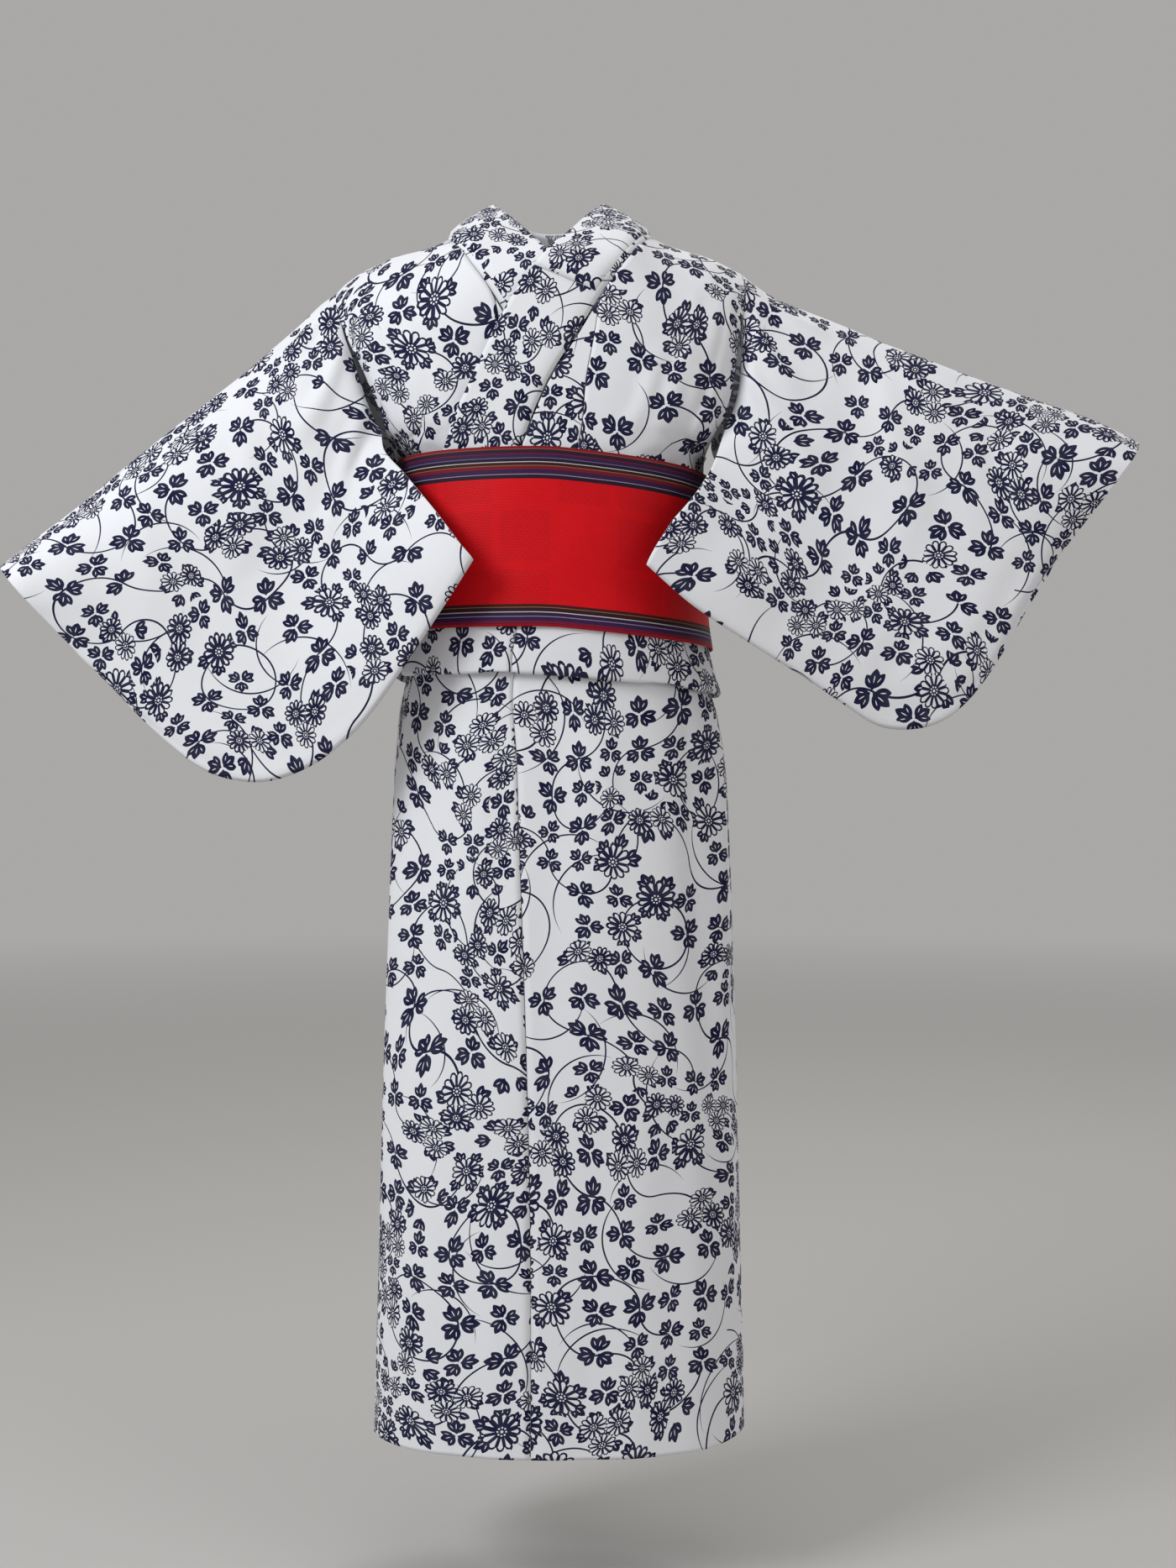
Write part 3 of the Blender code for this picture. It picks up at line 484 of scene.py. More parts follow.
COLLAR_UNDER = millimetres(
    CollarLine,
    (-55.5, 37.5, 2, -104.5, None, 8.5),
    (-47, 24, -26, -99, -12, 7.4),
    (-34, 8, -53, -89, -25, 6.4),
    (-14.5, -16, -78, -73.1, -47, 5.8),
    (13, -54, None, -50.6, -80.6, 5.6),
    (37.2, -89.4, None, -29.6, -116.3, 5.6),
    (60, -135, None, -3.9, -157.1, 5.6),
    (80, -179, None, 11.6, -190.8, 5.6),
    (96, -218, None, 23.9, -222.1, 5.6),
    (104, -245, None, 36, -248, 5.6),
)
COLLAR_ROLL = 0.0040  # how far the doubled collar bulges between fold and seam
COLLAR_LEAN = 0.10  # how far the bulge leans up, for a strip standing a metre out
COLLAR_INSET = 0.0022  # from the cut edge of the panels to the collar's own edge
COVER_LIFT = 0.0036  # how far the over-collar lies off the collar
COVER_REACH = 0.80  # share of the collar's last strip that the over-collar covers
COVER_ENDS = (4.4, 21)  # stations of the collar between which the over-collar lies


def collar_station(line, side, back):
    """Fold point, seam point, layer height and how closely the strip lies on the chest."""
    seam_x = line.seam_x * side if back else line.seam_x
    fold_x = line.fold_x * side if back else line.fold_x
    if line.seam_z is None:
        seam = Vector((seam_x, SHOULDER_Y, shoulder_height(seam_x) + line.out))
    else:
        turn = edge_turn(seam_x, line.seam_z, line.out, side, back)
        seam = upper_point(turn, line.seam_z, line.out)
        seam.z -= waist_drop(seam.x, seam.z)
    if line.fold_y is not None:
        return (fold_x, line.fold_y, line.fold_z, *seam, line.out, 0.0)
    fold = upper_point(turn_at(fold_x, line.fold_z, line.out), line.fold_z, line.out)
    fold.z -= waist_drop(fold.x, fold.z)
    return (*fold, *seam, line.out, 1.0)


def collar_row(station, columns):
    """Strip of the collar across its width, from the fold to the seam."""
    fold = Vector(station[0:3])
    seam = Vector(station[3:6])
    out = station[6]
    lies = min(max(station[7], 0.0), 1.0)
    across = (seam - fold).normalized()
    seam -= across * COLLAR_INSET
    outward = Vector((fold.x + seam.x, fold.y + seam.y, COLLAR_LEAN)).normalized()
    outward = (outward - across * outward.dot(across)).normalized()
    row = []
    for step in range(columns + 1):
        share = step / columns
        straight = fold.lerp(seam, share)
        rolled = straight + outward * COLLAR_ROLL * 4 * share * (1 - share)
        if lies > 0:
            turn = turn_at(straight.x, straight.z, out)
            on_chest = upper_point(turn, straight.z, out)
            on_chest.x = straight.x
            rolled = rolled.lerp(on_chest, lies)
        row.append(rolled)
    return row


def collar_stations():
    """All stations from the end under the belt on the right to the end on the left."""
    under = [collar_station(line, WEARER_RIGHT, False) for line in reversed(COLLAR_UNDER)]
    right = [collar_station(line, WEARER_RIGHT, True) for line in reversed(COLLAR_BACK)]
    left = [collar_station(line, WEARER_LEFT, True) for line in COLLAR_BACK[1:]]
    over = [collar_station(line, WEARER_LEFT, False) for line in COLLAR_OVER]
    return under + right + left + over


def collar_sheet(steps, columns):
    """The whole collar, from its hidden right end round the neck to its left end."""
    stations = collar_stations()
    count = (len(stations) - 1) * steps
    return [collar_row(along(stations, index / count), columns) for index in range(count + 1)]


# ------------------------------------------------------------------------- the sleeves
# Stations run from the armhole to the cuff. The ridge is the fold over the arm and the
# low edge is the sewn bottom, its round corner and the sewn part below the cuff.
SleeveLine = namedtuple("SleeveLine", "ridge_x ridge_z ridge_y low_x low_z low_y spread")
SLEEVE_LEFT = millimetres(
    SleeveLine,
    (199, -50, 4, 91.8, -334.9, -165, 58),
    (232.4, -69, -6, 135, -372, -157, 52),
    (285, -90, -20, 192.5, -408.1, -142, 44),
    (324, -108, -30, 240.6, -436.8, -128, 40),
    (372.7, -129, -38, 281, -463, -118, 38),
    (410, -143, -42, 310, -480, -110, 37),
    (440, -154.5, -46, 341.5, -483, -105, 36),
    (470, -165.5, -49, 371, -475, -100, 36),
    (495, -174.5, -52, 395.5, -456, -95, 36),
    (518, -183.5, -55, 417.5, -429, -90, 36),
    (542, -195, -58, 440, -394, -82, 36),
    (567, -208.6, -60, 461.8, -354.7, -75, 36),
)
SLEEVE_RIGHT = millimetres(
    SleeveLine,
    (-211, -53, 4, -68, -331.1, -165, 58),
    (-230, -68, -6, -91.7, -366.9, -157, 52),
    (-256, -96.5, -16, -120.6, -408.1, -143, 46),
    (-292.5, -129.3, -24, -152, -452, -130, 41),
    (-331.9, -163.3, -32, -180, -485, -120, 38),
    (-364.3, -191, -39, -218, -515, -112, 37),
    (-398.3, -219.9, -45, -258.6, -531, -106, 36),
    (-425, -243, -48, -292, -531.2, -101, 36),
    (-450, -265, -51, -325, -521, -97, 36),
    (-476, -287, -54, -358, -497, -92, 36),
    (-501, -307.5, -57, -388, -470, -86, 36),
    (-525.1, -327.5, -60, -412.1, -445.6, -80, 36),
)
Spread = namedtuple("Spread", "down width")
SPREADS = [
    Spread(0.0, 0.0),
    Spread(0.04, 0.52),
    Spread(0.1, 0.84),
    Spread(0.18, 1.0),
    Spread(0.3, 0.94),
    Spread(0.45, 0.7),
    Spread(0.6, 0.46),
    Spread(0.75, 0.3),
    Spread(0.9, 0.15),
    Spread(1.0, 0.0),
]
# Free edges of the sleeve next to the body, below the armhole: in front of the belt, and
# round the side of the body, with the signs of the wearer's left.
FreeEdge = namedtuple("FreeEdge", "x y z")
FREE_FRONT_LEFT = millimetres(
    FreeEdge,
    (156, -103.5, -234),
    (144, -122, -256),
    (131, -140, -275),
    (114.8, -151, -294.1),
    (98.5, -163, -320),
)
FREE_FRONT_RIGHT = millimetres(
    FreeEdge,
    (-154, -96, -224),
    (-135.8, -112, -243),
    (-119, -133, -264),
    (-100.4, -151, -287.2),
    (-80, -164, -315),
)
FREE_BACK = millimetres(
    FreeEdge,
    (176, 45, -248),
    (180, -5, -266),
    (169, -60, -285),
    (140, -115, -306),
    (110, -150, -325),
)
EDGE_REACH = 0.77  # share of the sleeve along which the armhole's shape fades out
EDGE_FADE = 3  # how quickly it does so at first
ARMHOLE_GAP = 0.0004  # from the edge of the body panel to that of the sleeve
ARMHOLE_FOOT = -0.198  # level at which the sleeve's seam ends and its free edge starts


def spaced(points, count):
    """The same path with its points evenly spaced."""
    path = as_array([points])
    lengths = lengths_of(path, 1)[0]
    wanted = np.linspace(0.0, lengths[-1], count + 1)
    return [Vector(np.interp(place, lengths, line) for line in path[0].T) for place in wanted]


def armhole_path(body, back):
    """Edge of the body panel at the armhole, from the shoulder down, moved just off it."""
    crest = min(range(len(body)), key=lambda index: abs(body[index][-1].y - SHOULDER_Y))
    rows = body[crest:] if back else body[crest::-1]
    path = []
    for row in rows:
        edge = row[-1]
        if edge.z < ARMHOLE_FOOT:
            break
        off = (edge - row[-2]).normalized()
        path.append(edge + off * ARMHOLE_GAP)
    return path


def sleeve_edge(body, side, back, count):
    """Body end of one layer of the sleeve: sewn to the armhole, then free to its corner."""
    lines = SLEEVE_LEFT if side == WEARER_LEFT else SLEEVE_RIGHT
    path = armhole_path(body, back)
    if back:
        path += [Vector((edge.x * side, edge.y, edge.z)) for edge in FREE_BACK]
    else:
        free = FREE_FRONT_LEFT if side == WEARER_LEFT else FREE_FRONT_RIGHT
        path += [Vector(edge) for edge in free]
    path.append(Vector((lines[0].low_x, lines[0].low_y, lines[0].low_z)))
    return spaced(path, count)


def sleeve_point(line, down, facing):
    """Point of a sleeve layer at a station, a share of the way from ridge to low edge."""
    ridge = Vector((line.ridge_x, line.ridge_y, line.ridge_z))
    low = Vector((line.low_x, line.low_y, line.low_z))
    point = ridge.lerp(low, down)
    point.y += facing * (line.spread * table_value(SPREADS, "down", down, "width"))
    return point


def sleeve_sheet(body, side, stations, count):
    """The sleeve as a tube of rings: front layer, ridge, back layer and sewn low edge."""
    lines = SLEEVE_LEFT if side == WEARER_LEFT else SLEEVE_RIGHT
    front_edge = sleeve_edge(body, side, False, count)
    back_edge = sleeve_edge(body, side, True, count)
    grid = []
    for index in range(stations + 1):
        share = index / stations
        line = SleeveLine(*along(lines, share))
        fade = max(0.0, 1 - share / EDGE_REACH) ** EDGE_FADE
        layers = []
        for facing, edge in ((-1, front_edge), (1, back_edge)):
            layer = []
            for step in range(count + 1):
                down = step / count
                start = sleeve_point(lines[0], down, facing)
                point = sleeve_point(line, down, facing)
                layer.append(point + (edge[step] - start) * fade)
            layers.append(layer)
        front, back = layers
        grid.append(front[::-1] + back[1:-1])
    return grid


# ---------------------------------------------------------------------------- the belt
OBI_LAP_START = radians(150)  # where the outer end of the belt lies at the back
OBI_LAP = radians(72)  # how far the ends lie over each other
OBI_LIFT = 0.0026  # how far the outer lap lies off the inner one
OBI_LIFT_START = radians(330)  # turn of the winding at which it starts to be lifted
OBI_LIFT_EASE = radians(24)  # turn over which it is lifted
OBI_GRIP = -0.240  # above this level the band no longer follows the figure


def obi_sheet(rows, columns):
    """The band, wound once round the waist with its end lapped at the back."""
    grid = []
    total = 2 * pi + OBI_LAP
    for step_down in range(rows + 1):
        down = step_down / rows
        height = OBI_TOP - OBI_HEIGHT * down
        row = []
        for step in range(columns + 1):
            turned = total * step / columns
            turn = OBI_LAP_START + OBI_LAP - total + turned
            lapped = min(max((turned - OBI_LIFT_START) / OBI_LIFT_EASE, 0.0), 1.0)
            out = OUT_OBI + OBI_LIFT * lapped
            level = round_point(turn, OBI_TOP - OBI_HEIGHT / 2, out)
            lowered = height - waist_drop(level.x, OBI_TOP - OBI_HEIGHT / 2)
            point = round_point(turn, min(lowered, OBI_GRIP), out)
            row.append(Vector((point.x, point.y, lowered)))
        grid.append(row)
    return grid


# ------------------------------------------------------------------- cloth from sheets
CLOTH_OUT = 0.0008  # from the inner face of the CAD wall to the cloth's inner face
CLOTH_WALL = 0.0009  # thickness of the cloth as it shows
BAKE_MARGIN = 0.005  # of the two halves, outside and inside, of the square picture
SWELLS = (0.31, 0.21, 0.147, 0.093, 0.066, 0.047)  # lengths of the cloth's soft waves
Crease = namedtuple("Crease", "x0 z0 x1 z1 bow width depth start end")
CREASE_WIDENS = (0.75, 0.5)  # width of a crease at its start, and growth towards its end
CREASE_MIDDLE = 3.2  # its height between its ends, beside the weights of those ends
CREASE_ROUND = (1.25, 0.5, 2.5)  # its rounded top: height, fall and where the fall stops
SWELL_SLANT = 0.7  # largest slant of a soft wave, in radians
SWELL_DOWN = 0.45  # share of that slant that shows down the cloth
SWELL_BEND = (0.35, 2.3, 1.7)  # how much a wave bends, over how many of its own lengths, from where


def refined(points, times, axis, closed=False):
    """A grid of points made finer along one axis by smooth curves through its points."""
    points = np.moveaxis(points, axis, 0)
    count = len(points)
    spans = count if closed else count - 1
    places = np.arange(spans * times + (0 if closed else 1)) / times
    index = np.minimum(places.astype(int), spans - 1)
    share = (places - index).reshape((-1,) + (1,) * (points.ndim - 1))

    def near(offset):
        wanted = index + offset
        wanted = wanted % count if closed else np.clip(wanted, 0, count - 1)
        return points[wanted]

    smooth = curve(near(-1), near(0), near(1), near(2), share)
    return np.moveaxis(smooth, 0, axis)


def as_array(grid):
    """Rows of points as one array."""
    return np.array([[tuple(point) for point in row] for row in grid])


def differences(points, axis, closed):
    """Step between the neighbours of each point along one axis."""
    if closed:
        return np.roll(points, -1, axis) - np.roll(points, 1, axis)
    return np.gradient(points, axis=axis)


def normals_of(points, closed):
    """Unit vectors square to a grid of points, pointing out of the garment."""
    normals = np.cross(differences(points, 1, closed), differences(points, 0, False))
    normals /= np.linalg.norm(normals, axis=2, keepdims=True) + 1e-12
    if closed:
        outward = points - points.mean(axis=1, keepdims=True)
    else:
        outward = points * np.array((1.0, 1.0, 0.0))
    return normals if (normals * outward).sum() > 0 else -normals


def lengths_of(points, axis):
    """Length along the cloth from its first row or column to each point."""
    steps = np.linalg.norm(np.diff(points, axis=axis), axis=2)
    total = np.cumsum(steps, axis=axis)
    return np.insert(total, 0, 0.0, axis=axis)


def crease_height(across, down, creases):
    """Height of soft ridges and troughs that run along slightly bowed lines."""
    total = np.zeros_like(across)
    for crease in creases:
        run_x = crease.x1 - crease.x0
        run_z = crease.z1 - crease.z0
        length = sqrt(run_x * run_x + run_z * run_z)
        share = ((across - crease.x0) * run_x + (down - crease.z0) * run_z) / length ** 2
        held = np.clip(share, 0.0, 1.0)
        aside = ((across - crease.x0) * run_z - (down - crease.z0) * run_x) / length
        aside = aside - crease.bow * 4 * held * (1 - held)
        beyond = (share - held) * length
        width = crease.width * (CREASE_WIDENS[0] + CREASE_WIDENS[1] * held)
        reach = (aside / width) ** 2 + (beyond / crease.width) ** 2
        weight = crease.start * (1 - held) ** 2 + crease.end * held ** 2
        weight += CREASE_MIDDLE * held * (1 - held)
        top, fall, limit = CREASE_ROUND
        total += crease.depth * weight * (top - fall * np.minimum(reach, limit)) * np.exp(-reach)
    return total


def unevenness(across, down, seed):
    """Low, soft swells of hanging cotton: a few slanted waves of unlike lengths."""
    random = np.random.default_rng(seed)
    total = np.zeros_like(across)
    for wave in SWELLS:
        angle = random.uniform(-SWELL_SLANT, SWELL_SLANT)
        phase = random.uniform(0, 2 * pi)
        turned_across = across * cos(angle) + down * sin(angle) * SWELL_DOWN
        depth, spread, shift = SWELL_BEND
        bend = depth * np.sin(down * 2 * pi / (wave * spread) + phase * shift)
        total += wave * np.sin(turned_across * 2 * pi / wave + phase + bend)
    return total


def unrolled(points):
    """Places of a grid of points, in metres, when its cloth is laid flat."""
    rows, columns = points.shape[:2]
    flat = bmesh.new()
    bmesh.ops.create_grid(flat, x_segments=columns - 1, y_segments=rows - 1, size=0.5)
    flat.loops.layers.uv.new("Cloth")
    for vertex in flat.verts:
        vertex.co = points[divmod(vertex.index, columns)]
    mesh = bpy.data.meshes.new("laid_flat")
    flat.to_mesh(mesh)
    flat.free()
    piece = bpy.data.objects.new("laid_flat", mesh)
    bpy.context.collection.objects.link(piece)
    bpy.ops.object.select_all(action="DESELECT")
    bpy.context.view_layer.objects.active = piece
    piece.select_set(True)
    bpy.ops.object.mode_set(mode="EDIT")
    bpy.ops.mesh.select_all(action="SELECT")
    bpy.ops.uv.unwrap(method="MINIMUM_STRETCH", margin=0.0)
    bpy.ops.object.mode_set(mode="OBJECT")
    corners = np.empty(len(mesh.loops) * 2)
    mesh.uv_layers["Cloth"].data.foreach_get("uv", corners)
    owners = np.empty(len(mesh.loops), dtype=int)
    mesh.loops.foreach_get("vertex_index", owners)
    places = np.zeros((rows * columns, 2))
    places[owners] = corners.reshape(-1, 2)
    places = places.reshape(rows, columns, 2)
    bpy.data.objects.remove(piece, do_unlink=True)
    bpy.data.meshes.remove(mesh)

    across = (places[:, -1] - places[:, 0]).mean(axis=0)
    down = (places[-1] - places[0]).mean(axis=0)
    real = np.linalg.norm(np.diff(points, axis=0), axis=2).sum()
    drawn = np.linalg.norm(np.diff(places, axis=0), axis=2).sum()
    first = down / np.linalg.norm(down)
    second = np.array((first[1], -first[0]))
    if second @ across < 0:
        second = -second
    return np.stack([places @ second, places @ first], axis=2) * (real / drawn)


def cloth_piece(name, points, laid, cloth, closed=False):
    """Mesh of a fine grid of points, with each point's place on the flat cloth.

    Its faces carry a number for their side: 0 outside, 1 inside, 2 on a rim.
    """
    points = points + normals_of(points, closed) * (CLOTH_OUT + CLOTH_WALL)
    if closed:
        points = np.concatenate([points, points[:, :1]], axis=1)
    rows, columns = points.shape[:2]
    mesh = bpy.data.meshes.new(name)
    sheet = bmesh.new()
    bmesh.ops.create_grid(sheet, x_segments=columns - 1, y_segments=rows - 1, size=0.5)
    sheet.verts.ensure_lookup_table()
    places = {}
    for vertex in sheet.verts:
        column = round((vertex.co.x + 0.5) * (columns - 1))
        row = round((vertex.co.y + 0.5) * (rows - 1))
        places[vertex.index] = (row, column)
    lengths = sheet.loops.layers.uv.new("Cloth")
    baked = sheet.loops.layers.uv.new("OFBake")
    side = sheet.faces.layers.float.new("side")
    for face in sheet.faces:
        for loop in face.loops:
            row, column = places[loop.vert.index]
            loop[lengths].uv = laid[row, column]
            share = Vector((column / (columns - 1), row / (rows - 1)))
            loop[baked].uv = (
                BAKE_MARGIN + (0.5 - 3 * BAKE_MARGIN) * share.x,
                BAKE_MARGIN + (1 - 2 * BAKE_MARGIN) * share.y,
            )
    for vertex in sheet.verts:
        vertex.co = points[places[vertex.index]]
    if closed:
        bmesh.ops.remove_doubles(sheet, verts=sheet.verts, dist=1e-6)
    sheet.normal_update()
    total = 0.0
    for face in sheet.faces:
        middle = face.calc_center_median()
        total += face.normal.dot(Vector((middle.x, middle.y, 0.0)))
    if closed and sheet.calc_volume(signed=True) < 0 or not closed and total < 0:
        bmesh.ops.reverse_faces(sheet, faces=sheet.faces)
    sheet.normal_update()
    outer = list(sheet.faces)
    outer_points = set(sheet.verts)
    outward = {tuple(vertex.co): vertex.normal.copy() for vertex in sheet.verts}
    bmesh.ops.solidify(sheet, geom=outer, thickness=0.0)
    for vertex in sheet.verts:
        if vertex not in outer_points:
            vertex.co -= outward[tuple(vertex.co)] * CLOTH_WALL
    shown = set(outer)
    for face in sheet.faces:
        if face not in shown:
            face[side] = 1.0 if outer_points.isdisjoint(face.verts) else 2.0
            for loop in face.loops:
                loop[baked].uv.x += 0.5
        face.smooth = True
    sheet.to_mesh(mesh)
    sheet.free()
    piece = bpy.data.objects.new(name, mesh)
    bpy.context.collection.objects.link(piece)
    mesh.materials.append(cloth)
    return piece


# ----------------------------------------------------------------- creases, by their lines
# Places on the upper part are given by x and height, on the skirt by length round the
# hips from the middle of the front and by height, on a sleeve by length from the armhole
# and by length round it from the ridge, the front layer below 0.
UPPER_FRONT_CREASES = millimetres(
    Crease,
    (-196, -85, -128, -235, 10, 7.5, -3.4, 0.3, 0.8),
    (-168, -70, -98, -230, 8, 7, -2.6, 0.2, 0.8),
    (-150, -50, -60, -205, 12, 11, 1.6, 0.0, 0.5),
    (190, -80, 150, -235, -8, 7.5, -3.6, 0.4, 0.8),
    (168, -85, 118, -232, -8, 6.5, -2.8, 0.2, 0.8),
    (140, -60, 90, -226, -10, 9, 1.8, 0.0, 0.6),
    (105, -120, 64, -226, -6, 8, 1.4, 0.0, 0.6),
    lengths=7,
)
UPPER_BACK_CREASES = millimetres(
    Crease,
    (-190, -90, -105, -232, 8, 8, -3, 0.3, 0.8),
    (-150, -110, -66, -230, 6, 9, 2, 0.0, 0.7),
    (186, -95, 112, -230, -6, 8, -2.8, 0.3, 0.8),
    (140, -105, 58, -228, -9, 9.5, 2.2, 0.0, 0.7),
    lengths=7,
)
SKIRT_CREASES = millimetres(
    Crease,
    (196, -440, 188, -1020, 10, 13, 3, 0.7, 0.0),
    (150, -440, 166, -830, 6, 12, -2, 0.6, 0.0),
    (120, -520, 150, -1160, -10, 20, 2.2, 0.0, 0.6),
    (60, -445, 85, -640, 6, 13, 1.4, 0.5, 0.0),
    (-70, -445, -98, -720, -7, 14, 1.6, 0.5, 0.0),
    (-130, -450, -142, -900, 8, 14, -2, 0.6, 0.0),
    (-186, -445, -196, -1080, 10, 16, 2.8, 0.6, 0.1),
    (-235, -450, -250, -950, 10, 18, 2.6, 0.6, 0.0),
    (262, -450, 250, -860, -9, 17, 2.6, 0.6, 0.0),
    (330, -450, 345, -1120, 12, 22, -2.6, 0.5, 0.3),
    (410, -450, 402, -760, 6, 16, 2, 0.6, 0.0),
    (-330, -450, -352, -990, -10, 20, -2.6, 0.5, 0.0),
    (-415, -450, -400, -820, 8, 18, 2.2, 0.6, 0.0),
    lengths=7,
)
LEFT_SLEEVE_CREASES = millimetres(
    Crease,
    (15, -60, 110, -35, 6, 10, 4, 0.6, 0.0),
    (20, -105, 85, -125, 8, 13, 4, 0.8, 0.0),
    (12, -150, 120, -215, -10, 15, 3.4, 0.7, 0.0),
    (110, -20, 290, -32, 8, 11, -2.4, 0.2, 0.2),
    (160, -50, 235, -200, 12, 20, 3, 0.1, 0.0),
    (285, -35, 300, -160, 10, 18, -2.4, 0.3, 0.0),
    (20, 60, 120, 50, 6, 11, 3.5, 0.6, 0.0),
    (15, 120, 110, 170, -8, 15, 3.6, 0.7, 0.0),
    (150, 40, 240, 200, 12, 22, 2.8, 0.1, 0.0),
    (290, 40, 310, 170, -10, 18, -2.4, 0.3, 0.0),
    lengths=7,
)
RIGHT_SLEEVE_CREASES = millimetres(
    Crease,
    (10, -50, 100, -40, 8, 12, 4.6, 0.7, 0.0),
    (15, -110, 115, -120, 10, 15, 4.4, 0.8, 0.0),
    (10, -170, 105, -230, -8, 15, 3.4, 0.7, 0.0),
    (120, -18, 300, -26, 6, 12, -2.2, 0.2, 0.2),
    (140, -40, 200, -190, 10, 20, 3.2, 0.1, 0.0),
    (260, -45, 285, -180, -10, 20, 2.6, 0.2, 0.0),
    (15, 70, 115, 60, 6, 12, 3.6, 0.6, 0.0),
    (12, 130, 120, 180, -8, 16, 3.4, 0.7, 0.0),
    (165, 45, 225, 190, 11, 21, 3, 0.1, 0.0),
    (280, 45, 305, 165, 9, 17, -2.2, 0.3, 0.0),
    lengths=7,
)
VALLEY_DEPTH = 0.0048  # how far the cloth sinks along the seam of the armhole
VALLEY_WIDTH = 0.015  # distance from the seam over which it does
HIP_RADIUS = 0.150  # turns an angle round the hips into a length
SLEEVE_TAKES = 0.030  # length of sleeve that takes part in the creases beside it
UPPER_SWELL = 0.0028  # height of the soft swells, as a share of their length
SLEEVE_SWELL = 0.005  # the same on the sleeves
TUCK_WAVE = 0.0004  # height of the waves of the tuck's loose edge
RIDGE_WIDTH = 0.012  # the ridge of a sleeve is drawn tight over this width
RIDGE_CALM = 0.8  # and loses this share of its creases
FRONT_OR_BACK = (0.0, 0.045)  # depth from the middle over which either layer's creases come in
BELT_CALM = (-0.020, 0.035)  # heights from the belt's edge between which they grow
VALLEY_FOOT = (-0.225, -0.185)  # heights between which the dip comes in at its lower end
VALLEY_TOP = (0.060, 0.110)  # depths below the origin between which it does at its upper end
SKIRT_CALM = (0.425, 0.520)  # depths between which the creases of the skirt come in
TUCK_CALM = (0.385, 0.430)  # and those between which the tuck's waves do
SKIRT_WAVES = ((0.0010, 7, 3, 0.0), (0.0007, 13, -5, 1.0))  # height, turns, slant and start
TUCK_WAVES = ((1.0, 5, 0.6), (0.5, 11, 2.0))  # share of the height, turns and start
LOW_EDGE_CALM = (0.0, 0.045)  # length from a sleeve's sewn low edge over which creases come in
SLEEVE_CALM = (0.010, 0.080)  # length from the armhole over which a sleeve's swells come in
ARMHOLE_CALM = (0.0, 0.02)  # and over which its own creases do


def eased(value, low, high):
    """0 below low, 1 above high and a soft rise between them."""
    share = np.clip((value - low) / (high - low), 0.0, 1.0)
    return share * share * (3 - 2 * share)


def upper_height(points):
    """Height of the creases of the upper part; they die out under the belt."""
    x, y, z = points[..., 0], points[..., 1], points[..., 2]
    front = eased(-y, *FRONT_OR_BACK)
    back = eased(y, *FRONT_OR_BACK)
    total = crease_height(x, z, UPPER_FRONT_CREASES) * front
    total += crease_height(x, z, UPPER_BACK_CREASES) * back
    total += unevenness(x + y * 0.7, z, 5) * UPPER_SWELL
    return total * eased(z, OBI_TOP + BELT_CALM[0], OBI_TOP + BELT_CALM[1])


def valley_height(distance, z):
    """The long dip along the seam of the armhole, at a distance from that seam."""
    level = eased(z, *VALLEY_FOOT) * eased(-z, *VALLEY_TOP)
    return -VALLEY_DEPTH * level * np.exp(-((distance / VALLEY_WIDTH) ** 2))


def hip_lengths(points):
    """Length round the hips from the middle of the front, for each point."""
    return np.arctan2(points[..., 0], -points[..., 1]) * HIP_RADIUS


def skirt_height(points):
    """Height of the creases of the skirt and of the tuck above it."""
    around = hip_lengths(points)
    z = points[..., 2]
    total = crease_height(around, z, SKIRT_CREASES)
    turn = around / HIP_RADIUS
    for height, turns, slant, start in SKIRT_WAVES:
        total += height * np.sin(turn * turns + slant * z + start)
    return total * eased(-z, *SKIRT_CALM)


def tuck_height(points):
    """Soft waves of the tuck's loose edge below the belt."""
    z = points[..., 2]
    turn = hip_lengths(points) / HIP_RADIUS
    waves = sum(share * np.sin(turn * turns + start) for share, turns, start in TUCK_WAVES)
    return TUCK_WAVE * waves * eased(-z, *TUCK_CALM)


def sleeve_height(points, creases, seed):
    """Height of the creases of a sleeve, joined to those of the panel it is sewn to."""
    down = lengths_of(points, 0)
    around = lengths_of(points, 1)
    low_edge = eased(np.minimum(around, around[:, -1:] - around), *LOW_EDGE_CALM)
    middle = around.shape[1] // 2
    around = around - around[:, middle : middle + 1]
    total = crease_height(down, around, creases)
    total += unevenness(down, around, seed) * SLEEVE_SWELL * eased(down, *SLEEVE_CALM)
    ridge = np.exp(-((around / RIDGE_WIDTH) ** 2))
    total *= (1 - RIDGE_CALM * ridge) * eased(down, *ARMHOLE_CALM)
    total += upper_height(points) * np.exp(-((down / SLEEVE_TAKES) ** 2))
    return total * low_edge + valley_height(down, points[:1, :, 2])


# --------------------------------------------------------------------------- materials
def math_method(operation):
    """A method that adds one math node for two numbers."""
    return lambda self, other: self.math(operation, other)


